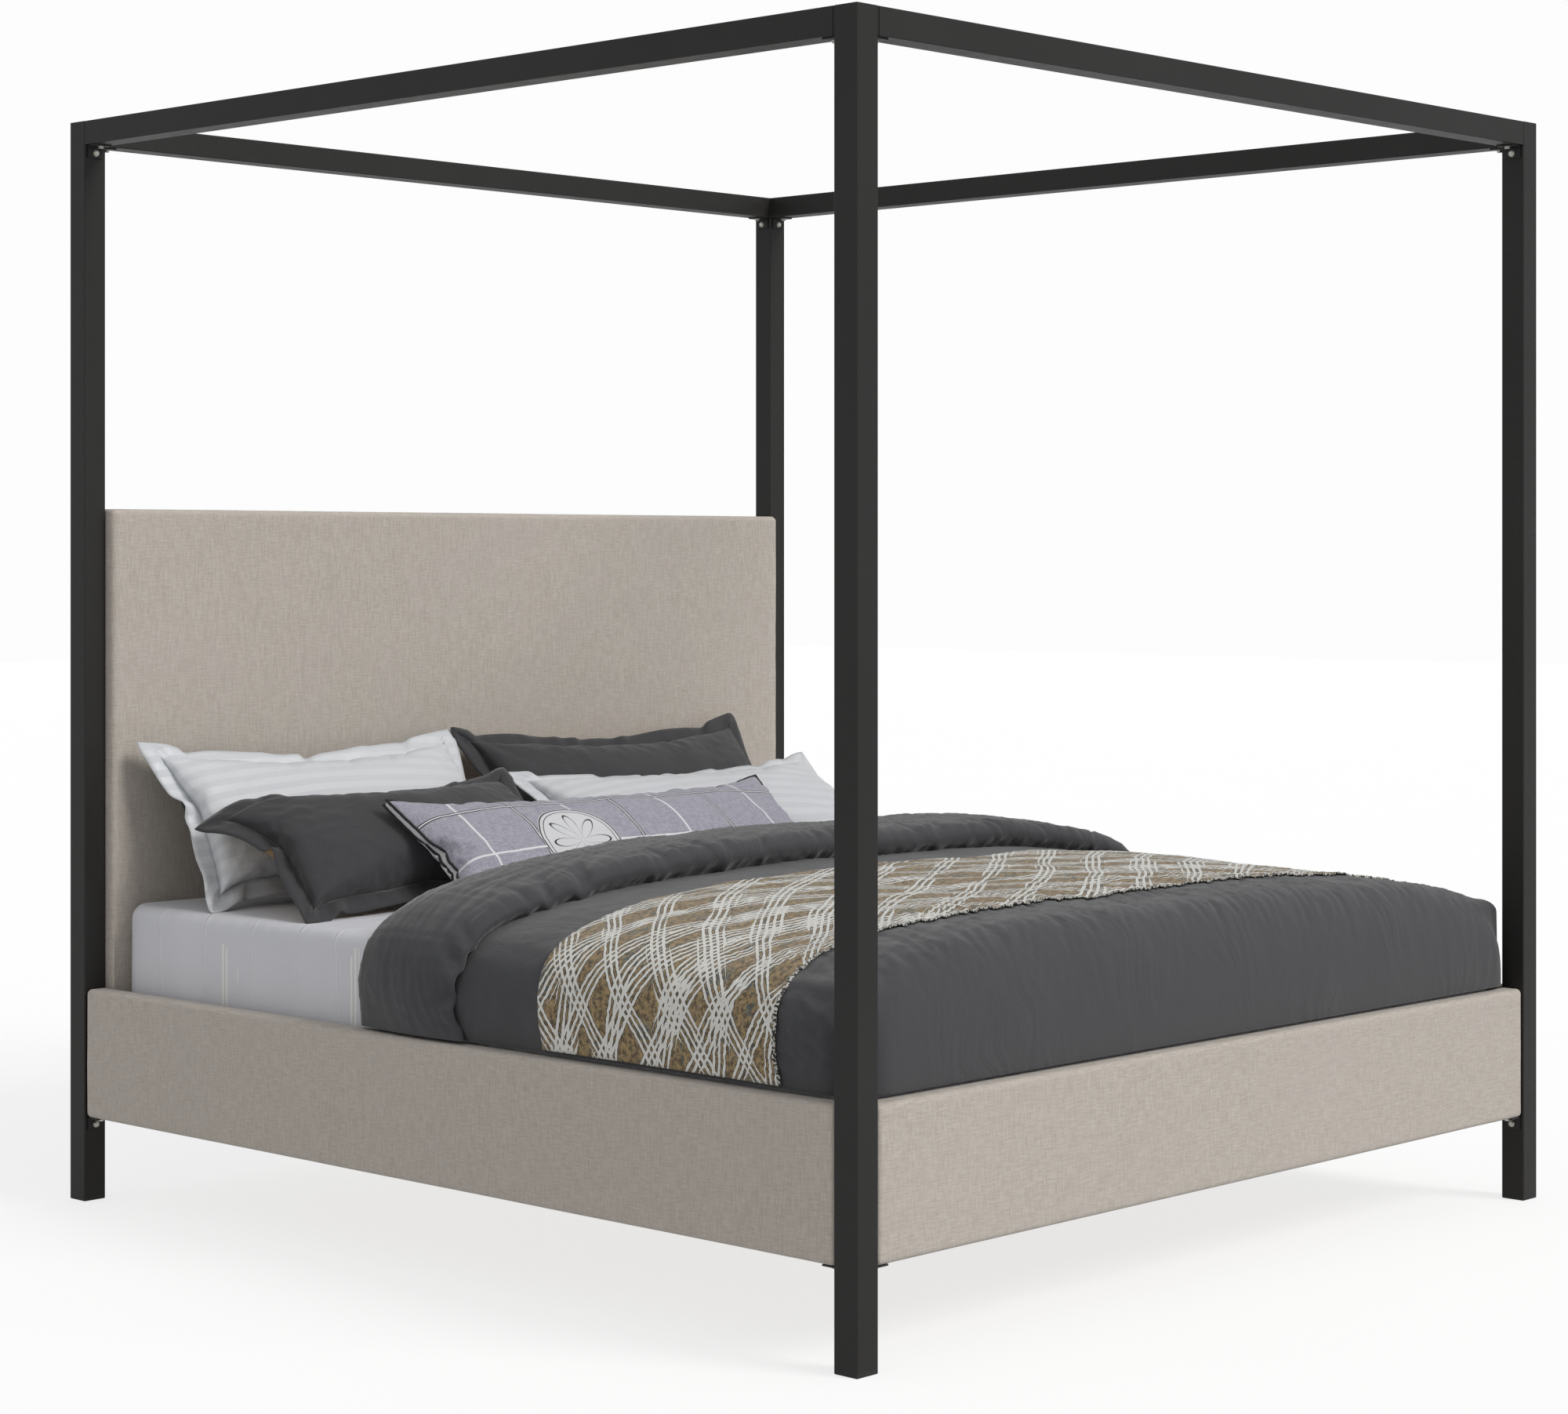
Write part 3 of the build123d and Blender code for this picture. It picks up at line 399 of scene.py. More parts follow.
CHARCOAL = (rgb(0.040, 0.040, 0.043), rgb(0.066, 0.067, 0.073))
DARK_CHARCOAL = (rgb(0.032, 0.032, 0.034), rgb(0.054, 0.054, 0.059))
COAT = (rgb(0.0145, 0.0138, 0.0128), rgb(0.0235, 0.0225, 0.0215))
FOAM = (rgb(0.70, 0.66, 0.50), rgb(0.86, 0.83, 0.70))
MADE = (
    powder_coat("powder_coated_steel", *COAT, 0.0004),
    powder_coat("black_bracket_steel", grey(0.014), rgb(0.032, 0.030, 0.030), 0.0008),
    metal("zinc_plated_steel", rgb(0.55, 0.53, 0.46), rgb(0.86, 0.85, 0.80), 0.22),
    metal("brass", rgb(0.60, 0.42, 0.16), rgb(0.82, 0.64, 0.30), 0.25),
    moulded_plastic("black_plastic"),
    sawn_timber("timber"),
    linen("linen_upholstery"),
    coarse_cloth("foam", *FOAM, 0.004),
    coarse_cloth("lining_cloth", grey(0.014), grey(0.040), 0.002),
    coarse_cloth("webbing", grey(0.05), grey(0.16), 0.003),
    coarse_cloth("mattress_ticking", grey(0.66), grey(0.84), 0.006),
    sheet_cotton("sheet_cotton"),
    plain_cotton("duvet_cotton", *CHARCOAL, 0.3, 0.0025, 0.007),
    runner_jacquard("runner_jacquard"),
    striped_sateen("striped_sateen"),
    plain_cotton("charcoal_cotton", *DARK_CHARCOAL, 0.2, 0.005),
    check_cotton("check_cotton"),
)
MATERIALS = {plain_name(material): material for material in MADE}
TAN_COTTON = plain_cotton("tan_cotton", rgb(0.24, 0.155, 0.065), rgb(0.34, 0.23, 0.105), 0.1)
WHITE_COTTON = plain_cotton("white_cotton", rgb(0.60, 0.60, 0.61), rgb(0.70, 0.70, 0.71), 0.1)
BLACK_PIPING = plain_cotton("black_piping", rgb(0.012, 0.012, 0.013), rgb(0.028, 0.028, 0.030), 0.1)

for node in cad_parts.values():
    for spot in node.material_slots:
        spot.material = MATERIALS[plain_name(spot.material)]


# ================ mesh building
def placed(name, data):
    """A new object in the scene with that mesh, curve, light or camera."""
    holder = bpy.data.objects.new(name, data)
    scene.collection.objects.link(holder)
    return holder


def mesh_piece(name, points, faces, *materials):
    """A smooth-shaded mesh object from points and faces."""
    mesh = bpy.data.meshes.new(name)
    mesh.from_pydata([tuple(p) for p in points], [], faces)
    mesh.update()
    mesh.polygons.foreach_set("use_smooth", [True] * len(mesh.polygons))
    for material in materials:
        mesh.materials.append(material)
    return placed(name, mesh)


def belong(piece, slot, *nodes):
    """The piece rides on the bed and stands for those CAD nodes, which it hides. The slot is not used.
    """
    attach(piece, "root")
    if nodes:
        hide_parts(*nodes)
    return piece


def grid_faces(rows, columns, start=0, closed=False, flip=False):
    """Quads of a grid whose point (row, column) has the index start + row * columns + column."""
    faces = []
    for row in range(rows - 1):
        for column in range(columns if closed else columns - 1):
            after = (column + 1) % columns
            a, b = start + row * columns + column, start + row * columns + after
            c, d = b + columns, a + columns
            faces.append((d, c, b, a) if flip else (a, b, c, d))
    return faces


def applied(piece):
    """The piece with its modifiers applied to its mesh."""
    depsgraph = bpy.context.evaluated_depsgraph_get()
    made = bpy.data.meshes.new_from_object(piece.evaluated_get(depsgraph))
    piece.modifiers.clear()
    piece.data = made
    return piece


def thickened(piece, thickness, offset=-1.0, **settings):
    solidify = piece.modifiers.new("thickness", "SOLIDIFY")
    configured(solidify, thickness=thickness, offset=offset, **settings)
    return applied(piece)


def subdivided(piece, levels=1):
    configured(piece.modifiers.new("subdivision", "SUBSURF"), levels=levels, render_levels=levels)
    return applied(piece)


def joined(piece, *others):
    """The others' meshes become part of the piece's."""
    with bpy.context.temp_override(
        active_object=piece, selected_editable_objects=[piece, *others]
    ):
        bpy.ops.object.join()
    return piece


def wavy(point, scale, seed=0.0):
    """Smooth noise from -1 to 1 at a point; scale is waves to the metre in each direction."""
    spot = Vector((point[0] * scale[0] + seed, point[1] * scale[1] - seed, point[2] * scale[2]))
    return noise.noise(spot)


# ================ upholstered rails and headboard
EDGE_STEPS = 4


def ticks(low, high, radius, step):
    """Places along one side of a rounded block: close together where the edge rounds."""
    count = max(1, round((high - low - 2 * radius) / step))
    edge = np.linspace(0, radius, EDGE_STEPS + 1)
    middle = np.linspace(low + radius, high - radius, count + 1)
    return np.concatenate([low + edge[:-1], middle, high - edge[-2::-1]])


def rounded_block(name, low, high, radius, step, relief, materials, open_below=False):
    """Box with rounded edges; relief(point, normal) gives how far each point stands proud."""
    axes = [ticks(low[i], high[i], radius, step) for i in range(3)]
    counts = [len(a) for a in axes]
    index, points, faces = {}, [], []

    def corner(key):
        if key not in index:
            index[key] = len(points)
            points.append([axes[i][key[i]] for i in range(3)])
        return index[key]

    for axis in range(3):
        u, v = (axis + 1) % 3, (axis + 2) % 3
        for end in (0, counts[axis] - 1):
            if open_below and axis == 2 and end == 0:
                continue
            for i in range(counts[u] - 1):
                for j in range(counts[v] - 1):
                    quad = []
                    for di, dj in ((0, 0), (1, 0), (1, 1), (0, 1)):
                        key = [0, 0, 0]
                        key[axis], key[u], key[v] = end, i + di, j + dj
                        quad.append(corner(tuple(key)))
                    faces.append(quad if end else quad[::-1])
    points = np.array(points)
    inner = np.clip(points, np.array(low) + radius, np.array(high) - radius)
    outward = points - inner
    outward /= np.linalg.norm(outward, axis=1)[:, None]
    points = inner + outward * radius
    rise = np.array([relief(p, n) for p, n in zip(points, outward)])
    points += outward * rise[:, None]
    return mesh_piece(name, points, faces, *materials)


LINEN = MATERIALS["linen_upholstery"]
RAIL_EDGE = 0.011
HEADBOARD_EDGE = 0.013
SEAM_EDGE = 0.0035


def pulled_fabric(seed, amount, front):
    """Relief of fabric pulled over foam, strongest where it faces the front and slight over timber."""

    def relief(point, normal):
        swell = wavy(point, (3.0, 3.0, 6.0), seed)
        tension = wavy(point, (4.0, 4.0, 26.0), seed + 7.0)
        small = wavy(point, (24.0, 24.0, 24.0), seed + 3.0)
        share = 0.35 + 0.65 * max(0.0, float(np.dot(normal, front)))
        return share * amount * (0.6 * swell + 0.3 * tension + 0.25 * small - 1.0)

    return relief


SOFT_RAILS = {
    "side_rail_left": (-1, 0, 0),
    "side_rail_right": (1, 0, 0),
    "foot_rail": (0, -1, 0),
}
for number, (rail, front) in enumerate(SOFT_RAILS.items()):
    low, high = span(f"{rail}_cover")
    relief = pulled_fabric(3.1 * number, 0.0011, front)
    fabric = rounded_block(f"{rail}_linen", low, high, RAIL_EDGE, 0.014, relief, [LINEN])
    belong(fabric, "linen_upholstery", f"{rail}_cover", f"{rail}_foam")

for name, covers, edge, amount, seed, tuck in (
    ("headboard_linen", ("headboard_cover", "headboard_foam"), HEADBOARD_EDGE, 0.0014, 11.0, 0.009),
    ("headboard_lower_linen", ("headboard_lower_cover",), SEAM_EDGE, 0.0014, 17.0, 0.0),
):
    low, high = span(covers[0])
    low[2] -= tuck
    relief = pulled_fabric(seed, amount, (0, -1, 0))
    fabric = rounded_block(name, low, high, edge, 0.016, relief, [LINEN])
    belong(fabric, "linen_upholstery", *covers)


# ================ mattress and fitted sheet
MATTRESS_CORNER = 0.060
MATTRESS_EDGE = 0.028
SHEET_THICK = 0.0015


def plan_rounded(points, low, high, radius, ends=(-1, 1)):
    """Rounds a box-like shape's upright corners in plan, at the foot (-1) and the head (1)."""
    points = np.array(points)
    middle = (np.array(low) + np.array(high)) / 2
    half = (np.array(high) - np.array(low)) / 2 - radius
    for sx in (-1, 1):
        for sy in ends:
            dx = sx * (points[:, 0] - middle[0]) - half[0]
            dy = sy * (points[:, 1] - middle[1]) - half[1]
            inside = (dx > 0) & (dy > 0)
            reach, length = np.maximum(dx, dy), np.hypot(dx, dy)
            scale = np.where(inside, reach / np.maximum(length, 1e-9), 1.0)
            points[:, 0] += np.where(inside, sx * dx * (scale - 1), 0.0)
            points[:, 1] += np.where(inside, sy * dy * (scale - 1), 0.0)
    return points


def reshaped(piece, change):
    """The piece with its points changed by a function of an array of points."""
    points = np.empty(3 * len(piece.data.vertices))
    piece.data.vertices.foreach_get("co", points)
    piece.data.vertices.foreach_set("co", change(points.reshape(-1, 3)).ravel())
    piece.data.update()
    return piece


def quilting(point, normal):
    """Sewn channels across the ticking, every 120 mm."""
    return -0.004 * abs(normal[2]) * abs(math.cos(math.pi * point[1] / 0.12)) ** 8


low, high = span("mattress")
mattress = rounded_block(
    "mattress_ticking", low, high, MATTRESS_EDGE, 0.03, quilting, [MATERIALS["mattress_ticking"]]
)
reshaped(mattress, lambda p: plan_rounded(p, low, high, MATTRESS_CORNER))
belong(mattress, "mattress_ticking", "mattress")


def sheet_relief(point, normal):
    """Gathers along the sides and faint waves over the top."""
    depth = min(1.0, max(0.0, (sheet_high[2] - point[2]) / 0.25))
    gathers = wavy(point, (2.0, 30.0, 2.5), 5.0) * depth + wavy(point, (2.0, 11.0, 3.0), 2.0)
    top = wavy(point, (5.0, 14.0, 1.0), 9.0)
    return 0.0026 * abs(normal[0]) * gathers + 0.0012 * top * abs(normal[2])


sheet_low, sheet_high = span("fitted_sheet")
fitted_sheet = rounded_block(
    "fitted_sheet_cotton",
    sheet_low,
    sheet_high,
    MATTRESS_EDGE,
    0.012,
    sheet_relief,
    [MATERIALS["sheet_cotton"]],
    open_below=True,
)
reshaped(fitted_sheet, lambda p: plan_rounded(p, sheet_low, sheet_high, MATTRESS_CORNER))
thickened(fitted_sheet, SHEET_THICK)
belong(fitted_sheet, "sheet_cotton", "fitted_sheet")


# ================ duvet
DUVET_LOW, _ = span("duvet")
DUVET_HALF = 0.998
DUVET_BASE = DUVET_LOW[2]
DUVET_CROWN = 0.694
DUVET_TALL = DUVET_CROWN - DUVET_BASE
DUVET_FOOT = DUVET_LOW[1]
DUVET_HEAD = 0.17
CORNER_RADIUS = 0.085
SHEET_CLEAR = 0.009
FOOT_DEEP = 0.12
SECTION_POWERS = (2.7, 5.2)
FOOT_POWERS = (2.6, 3.4)
LINING_POWERS = (12.0, 12.0)
LINING_GAP = 0.002
LINING_TOP = sheet_high[2] + LINING_GAP
LINING_FOOT_DEEP = 0.02
DUVET_ACROSS = 300
DUVET_ALONG = 200


def evenly(count, x, y, *others, endpoint=True):
    """Values along the line through (x, y), at places evenly spaced along it, and those places."""
    length = np.concatenate([[0], np.cumsum(np.hypot(np.diff(x), np.diff(y)))])
    even = np.linspace(0, length[-1], count, endpoint=endpoint)
    return *(np.interp(even, length, values) for values in (x, y, *others)), even


def section(half, tall, flat_power, side_power, count):
    """Half widths and heights of an arched section, evenly spaced along its length."""
    turn = np.linspace(0, math.pi, 4001)
    cosine, sine = np.cos(turn), np.sin(turn)
    x = -half * np.sign(cosine) * np.abs(cosine) ** (2 / flat_power)
    z = tall * np.abs(sine) ** (2 / side_power)
    x, z, even = evenly(count, x, z)
    return x, z, even - even[-1] / 2


def foot_curve(foot, head, deep, tall, count):
    """Places from the foot end's hem, up its rounded face, to the head end: y, share of the height."""
    turn = np.linspace(0, math.pi / 2, 1201)
    y = foot + deep * (1 - np.cos(turn) ** (2 / FOOT_POWERS[0]))
    share = np.sin(turn) ** (2 / FOOT_POWERS[1])
    y, share = np.append(y, head), np.append(share, 1.0)
    y, _, share, _ = evenly(count, y, share * tall, share)
    return y, share


def duvet_crown(y):
    """Height of the crown above the hem along the bed."""
    return DUVET_TALL * (1 - 0.075 * np.clip((-0.35 - y) / 0.6, 0, 1) ** 1.5)


SECTION_X, SECTION_Z, SECTION_S = section(DUVET_HALF, DUVET_TALL, *SECTION_POWERS, 2001)
SECTION_Z = SECTION_Z / DUVET_TALL


def duvet_relief(across, y, share):
    """How far the duvet's face stands proud, from its place along the cloth and its height share."""
    spot = (across, y, share)
    swell = wavy(spot, (2.2, 3.0, 1.0), 1.7)
    puff = wavy(spot, (6.0, 7.0, 2.0), 4.2)
    slant = (across * 0.55 + y + 0.25 * share, across - 0.5 * y, 0.0)
    ridges = wavy(slant, (7.0, 38.0, 1.0), 8.0)
    fine = wavy(slant, (16.0, 90.0, 1.0), 12.0)
    crest = math.exp(-(((y + 0.90) / 0.16) ** 2)) + 0.35
    side = 1.0 - min(1.0, share * 1.05)
    drape = wavy((across * 0.3, y, 0.0), (4.0, 13.0, 1.0), 15.0)
    ridge = (1 - abs(ridges)) ** 3 - 0.3
    small = (1 - abs(fine)) ** 3 - 0.3
    return (
        0.010 * swell
        + 0.0045 * puff
        + crest * (0.0042 * ridge + 0.0020 * small)
        + side * 0.006 * drape
    )


def duvet_point(across, y, share=1.0, lift=0.0):
    """A point of the duvet's outer face: across is measured along the cloth from the middle."""
    x = np.interp(across, SECTION_S, SECTION_X)
    z = np.interp(across, SECTION_S, SECTION_Z)
    step = 0.004
    ends = (across - step, across + step)
    dx = np.subtract(*np.interp(ends, SECTION_S, SECTION_X)[::-1])
    dz = np.subtract(*np.interp(ends, SECTION_S, SECTION_Z)[::-1]) * DUVET_TALL
    length = max(math.hypot(dx, dz), 1e-9)
    out = lift + duvet_relief(across, y, share * z) * min(1.0, 4 * z + 0.15)
    height = DUVET_BASE + duvet_crown(y) * z * share
    return np.array([x - dz / length * out, y, height + dx / length * out * share])


def closed_shell(name, outer, inner, rows, columns, *materials):
    """A closed solid between two grids of the same size."""
    points = np.concatenate([outer, inner])
    faces = grid_faces(rows, columns) + grid_faces(rows, columns, rows * columns, flip=True)
    rim = (
        [row * columns for row in range(rows - 1, 0, -1)]
        + list(range(columns - 1))
        + [row * columns + columns - 1 for row in range(rows - 1)]
        + [(rows - 1) * columns + column for column in range(columns - 1, 0, -1)]
    )
    shift = rows * columns
    for here, after in zip(rim, rim[1:] + rim[:1]):
        faces.append((after, here, here + shift, after + shift))
    return mesh_piece(name, points, faces, *materials)


def above_sheet(points):
    """Keeps the duvet's face clear of the rounded edges of the sheet under it."""
    points = np.array(points)
    inside_x = sheet_high[0] - np.abs(points[:, 0])
    inside_y = points[:, 1] - sheet_low[1]
    reach = np.minimum(inside_x, inside_y)
    bend = np.clip(MATTRESS_EDGE - reach, 0, MATTRESS_EDGE)
    least = sheet_high[2] - MATTRESS_EDGE + np.sqrt(MATTRESS_EDGE**2 - bend**2) + SHEET_CLEAR
    soft = 0.006
    rise = np.clip((least - points[:, 2]) / soft, -30, 30)
    lifted = points[:, 2] + soft * np.log1p(np.exp(rise))
    points[:, 2] = np.where(reach > 0, lifted, points[:, 2])
    return points


def make_duvet():
    along, share = foot_curve(DUVET_FOOT, DUVET_HEAD, FOOT_DEEP, DUVET_TALL, DUVET_ALONG)
    across = np.linspace(SECTION_S[0], SECTION_S[-1], DUVET_ACROSS)
    outer = np.array([duvet_point(s, y, g) for y, g in zip(along, share) for s in across])
    outer = plan_rounded(
        outer, (-DUVET_HALF, DUVET_FOOT, 0), (DUVET_HALF, -DUVET_FOOT, 1), CORNER_RADIUS, (-1,)
    )
    outer = above_sheet(outer)
    tall = LINING_TOP - DUVET_BASE
    inner_x, inner_z, _ = section(sheet_high[0] + LINING_GAP, tall, *LINING_POWERS, DUVET_ACROSS)
    inside_foot = sheet_low[1] - LINING_GAP
    rows = list(zip(*foot_curve(inside_foot, DUVET_HEAD, LINING_FOOT_DEEP, tall, DUVET_ALONG)))
    inner = np.array([(x, y, DUVET_BASE + z * g) for y, g in rows for x, z in zip(inner_x, inner_z)])
    inner = plan_rounded(
        inner, (inner_x[0], inside_foot, 0), (inner_x[-1], -inside_foot, 1), MATTRESS_CORNER, (-1,)
    )
    size = (DUVET_ALONG, DUVET_ACROSS)
    piece = closed_shell("duvet_cover", outer, inner, *size, MATERIALS["duvet_cotton"])
    belong(piece, "duvet_cotton", "duvet")
    return piece


make_duvet()

# ---------------- the turned-back head end
# Outline of the fold lengthwise: (y, height above the duvet's face), foot edge first, all in metres.
FOLD_OUTLINE = (
    (-0.060, -0.020),
    (-0.092, 0.002),
    (-0.110, 0.020),
    (-0.110, 0.040),
    (-0.090, 0.056),
    (-0.030, 0.062),
    (0.050, 0.062),
    (0.120, 0.052),
    (0.172, 0.024),
    (0.194, -0.020),
    (0.190, -0.060),
    (0.150, -0.084),
    (0.050, -0.070),
)
FOLD_ACROSS = 560
FOLD_ROUND = 110
FOLD_SIDE_THICK = 0.30
random.seed(5)
# Pleats in the fold: place across, width, depth and lean. Forty are drawn, and five deep ones are set.
PLEAT_RANGES = ((-1.20, 1.20), (0.007, 0.014), (0.3, 1.0), (-0.7, 0.7))
PLEATS = [tuple(random.uniform(*ends) for ends in PLEAT_RANGES) for _ in range(40)]
PLEATS += [
    (-1.02, 0.013, 1.9, 0.5),
    (-1.075, 0.014, 2.2, -0.3),
    (-1.13, 0.012, 2.0, 0.2),
    (-0.80, 0.014, 2.1, 0.7),
    (-0.72, 0.013, 1.9, 0.9),
]


def closed_spline(points, count):
    """Points evenly placed along a smooth closed curve through the given ones."""
    points = np.array(points)
    dense = []
    for i in range(len(points)):
        a, b, c, d = (points[(i + k) % len(points)] for k in (-1, 0, 1, 2))
        for t in np.linspace(0, 1, 40, endpoint=False):
            square, cube = 2 * a - 5 * b + 4 * c - d, 3 * b - a - 3 * c + d
            dense.append(0.5 * (2 * b + (c - a) * t + square * t**2 + cube * t**3))
    dense = np.array(dense + dense[:1])
    y, up, _ = evenly(count, *dense.T, endpoint=False)
    return np.stack([y, up], axis=1)


def fold_relief(across, y, up):
    """Soft swells over the fold and short pleats that start at its foot-side seam."""
    spot = (across, y, up)
    swell = 0.006 * wavy(spot, (2.5, 6.0, 3.0), 21.0) + 0.003 * wavy(spot, (8.0, 9.0, 6.0), 23.0)
    drag = (across * 0.9 + 1.4 * y, across * 0.25 - y, up)
    lines = (1 - abs(wavy(drag, (9.0, 42.0, 6.0), 27.0))) ** 3 - 0.3
    near = math.exp(-(((y + 0.108) / 0.045) ** 2))
    pleats = 0.0
    for place, width, depth, lean in PLEATS:
        off = (across - place - lean * (y + 0.108)) / width
        if abs(off) < 3:
            pleats += depth * math.exp(-off * off)
    return swell + 0.0032 * lines - 0.0070 * near * min(2.2, pleats)


def make_fold():
    outline = closed_spline(FOLD_OUTLINE, FOLD_ROUND)
    widest = SECTION_S[-1]
    points = []
    for across in np.linspace(-widest, widest, FOLD_ACROSS):
        share = np.interp(across, SECTION_S, SECTION_Z)
        thick = FOLD_SIDE_THICK + (1 - FOLD_SIDE_THICK) * share**1.6
        inward = 0.42 + 0.58 * share**3
        drift = 0.045 * (1 - share) ** 1.5
        for y, up in outline:
            height = up * thick if up > 0 else up * inward
            foot_side = max(0.0, (0.04 - y) / 0.15)
            place_y = y + drift * foot_side * math.sin(math.pi * min(1.0, share * 1.3))
            relief = fold_relief(across, y, up) * (0.45 + 0.55 * share) if up > -0.03 else 0.0
            spot = duvet_point(across, 0.03, 1.0, height + relief)
            spot[1] = place_y
            points.append(spot)
    faces = grid_faces(FOLD_ACROSS, FOLD_ROUND, closed=True)
    faces.append(tuple(range(FOLD_ROUND)))
    last = (FOLD_ACROSS - 1) * FOLD_ROUND
    faces.append(tuple(last + i for i in reversed(range(FOLD_ROUND))))
    piece = mesh_piece("duvet_fold", points, faces, MATERIALS["duvet_cotton"])
    belong(piece, "duvet_cotton", "duvet")
    return piece


make_fold()

# ================ runner
RUNNER_THICK = 0.0025
RUNNER_LIFT = 0.0035
RUNNER_HALF = SECTION_S[-1] - 0.006
RUNNER_STEPS = (330, 76)


def make_runner():
    across = np.linspace(-RUNNER_HALF, RUNNER_HALF, RUNNER_STEPS[0])
    along = np.linspace(RUNNER_FOOT, RUNNER_HEAD, RUNNER_STEPS[1])
    points, cloth = [], []
    for y in along:
        for s in across:
            sag = 0.045 * max(0.0, -s / RUNNER_HALF - 0.72) / 0.28
            place = y - sag
            ripple = 0.0010 * wavy((s, y, 0), (14, 20, 1), 31.0)
            points.append(duvet_point(s, place, 1.0, RUNNER_LIFT + ripple))
            cloth.append((s, y, 0.0))
    faces = grid_faces(*RUNNER_STEPS[::-1])
    piece = mesh_piece("runner_cloth", points, faces, MATERIALS["runner_jacquard"])
    store = piece.data.attributes.new("cloth", "FLOAT_VECTOR", "POINT")
    store.data.foreach_set("vector", np.array(cloth).ravel())
    thickened(piece, RUNNER_THICK, 1.0)
    belong(piece, "runner_jacquard", "runner")
    return piece


make_runner()

# ================ pillows
# Width and height over the flange, thickness, flange, lean from upright in degrees, front and back
# cloths, seed. The check pillow has no flange, and the width of its gusset instead.
SATEEN, CHARCOAL_COTTON = MATERIALS["striped_sateen"], MATERIALS["charcoal_cotton"]
PILLOWS = {
    "pillow_back_left": (0.875, 0.415, 0.165, 0.040, 37.0, SATEEN, CHARCOAL_COTTON, 1),
    "pillow_back_right": (0.935, 0.415, 0.160, 0.040, 37.0, CHARCOAL_COTTON, TAN_COTTON, 2),
    "pillow_front_left": (0.850, 0.430, 0.150, 0.040, 55.0, CHARCOAL_COTTON, TAN_COTTON, 3),
    "pillow_front_right": (0.985, 0.430, 0.150, 0.040, 55.0, SATEEN, CHARCOAL_COTTON, 4),
}
CHECK_PILLOW = (1.09, 0.345, 0.125, 0.034, 52.0, 5)
PILLOW_STEP = 0.0095
FLANGE_THICK = 0.003
START_SHARE = 0.55
SIMULATED_FRAMES = 16
PILLOW_CLOTH = {
    "quality": 5,
    "mass": 0.25,
    "tension_stiffness": 12,
    "compression_stiffness": 12,
    "shear_stiffness": 4,
    "bending_stiffness": 0.25,
    "air_damping": 1.5,
    "use_pressure": True,
    "uniform_pressure_force": 3.4,
}
# How far each pillow's upper left corner hangs back.
DROOP = {"pillow_front_left": 0.075}


def dome(u, v):
    """Share of the full thickness at a place from -1 to 1 in each direction."""
    return max(0.0, (1 - u**4)) ** 0.6 * max(0.0, (1 - v**4)) ** 0.6


def pillow_sheets(width, height, thick, gusset, seed):
    """Front and back sheets with a shared seam, or with a strip of that width between two seams."""
    columns, rows = round(width / PILLOW_STEP) + 1, round(height / PILLOW_STEP) + 1
    us, vs = np.linspace(-1, 1, columns), np.linspace(-1, 1, rows)
    points, index = [], {}

    def add(key, x, y, z):
        index[key] = len(points)
        points.append((x, y, z))

    faces, groups = [], []
    for side in (1, -1):
        for j, v in enumerate(vs):
            for i, u in enumerate(us):
                rim = i in (0, columns - 1) or j in (0, rows - 1)
                if rim and side < 0 and not gusset:
                    index[side, i, j] = index[1, i, j]
                    continue
                x, y = u * width / 2, v * height / 2
                rough = 0.0016 * wavy((x, y, side), (40, 40, 1), seed * 3.3)
                z = side * (gusset / 2 + START_SHARE * thick / 2 * dome(u, v)) + (0 if rim else rough)
                add((side, i, j), x, y, z)
        for j in range(rows - 1):
            for i in range(columns - 1):
                around = ((i, j), (i + 1, j), (i + 1, j + 1), (i, j + 1))
                quad = [index[side, *spot] for spot in around]
                faces.append(quad if side > 0 else quad[::-1])
                groups.append(0 if side > 0 else 1)
    loop = (
        [(i, 0) for i in range(columns - 1)]
        + [(columns - 1, j) for j in range(rows - 1)]
        + [(i, rows - 1) for i in range(columns - 1, 0, -1)]
        + [(0, j) for j in range(rows - 1, 0, -1)]
    )
    return points, faces, groups, index, loop


def add_flange(points, faces, groups, index, loop, width, height, flange, seed):
    """A single layer of faces round the seam, as wide as the flange."""
    rings = max(2, round(flange / PILLOW_STEP))
    before = [index[1, i, j] for i, j in loop]
    inner = [points[k] for k in before]
    for ring in range(1, rings + 1):
        out = flange * ring / rings
        now = []
        for k, (x, y, _) in enumerate(inner):
            grow_x, grow_y = 1 + 2 * out / width, 1 + 2 * out / height
            wave = 0.004 * ring / rings * wavy((x, y, 0), (16, 16, 1), seed * 5.1)
            now.append(len(points))
            points.append((x * grow_x, y * grow_y, wave))
        for k in range(len(loop)):
            after = (k + 1) % len(loop)
            faces.append([before[k], now[k], now[after], before[after]])
            groups.append(2)
        before = now


def add_gusset(points, faces, groups, index, loop):
    """A strip between the front seam and the back seam."""
    rows = 3
    front, back = ([index[side, i, j] for i, j in loop] for side in (1, -1))
    rings = [front]
    for row in range(1, rows):
        share = row / rows
        ring = []
        for a, b in zip(front, back):
            ring.append(len(points))
            points.append(tuple(np.array(points[a]) * (1 - share) + np.array(points[b]) * share))
        rings.append(ring)
    rings.append(back)
    for upper_ring, lower_ring in zip(rings, rings[1:]):
        for k in range(len(loop)):
            after = (k + 1) % len(loop)
            faces.append([upper_ring[k], lower_ring[k], lower_ring[after], upper_ring[after]])
            groups.append(2)
    return front, back


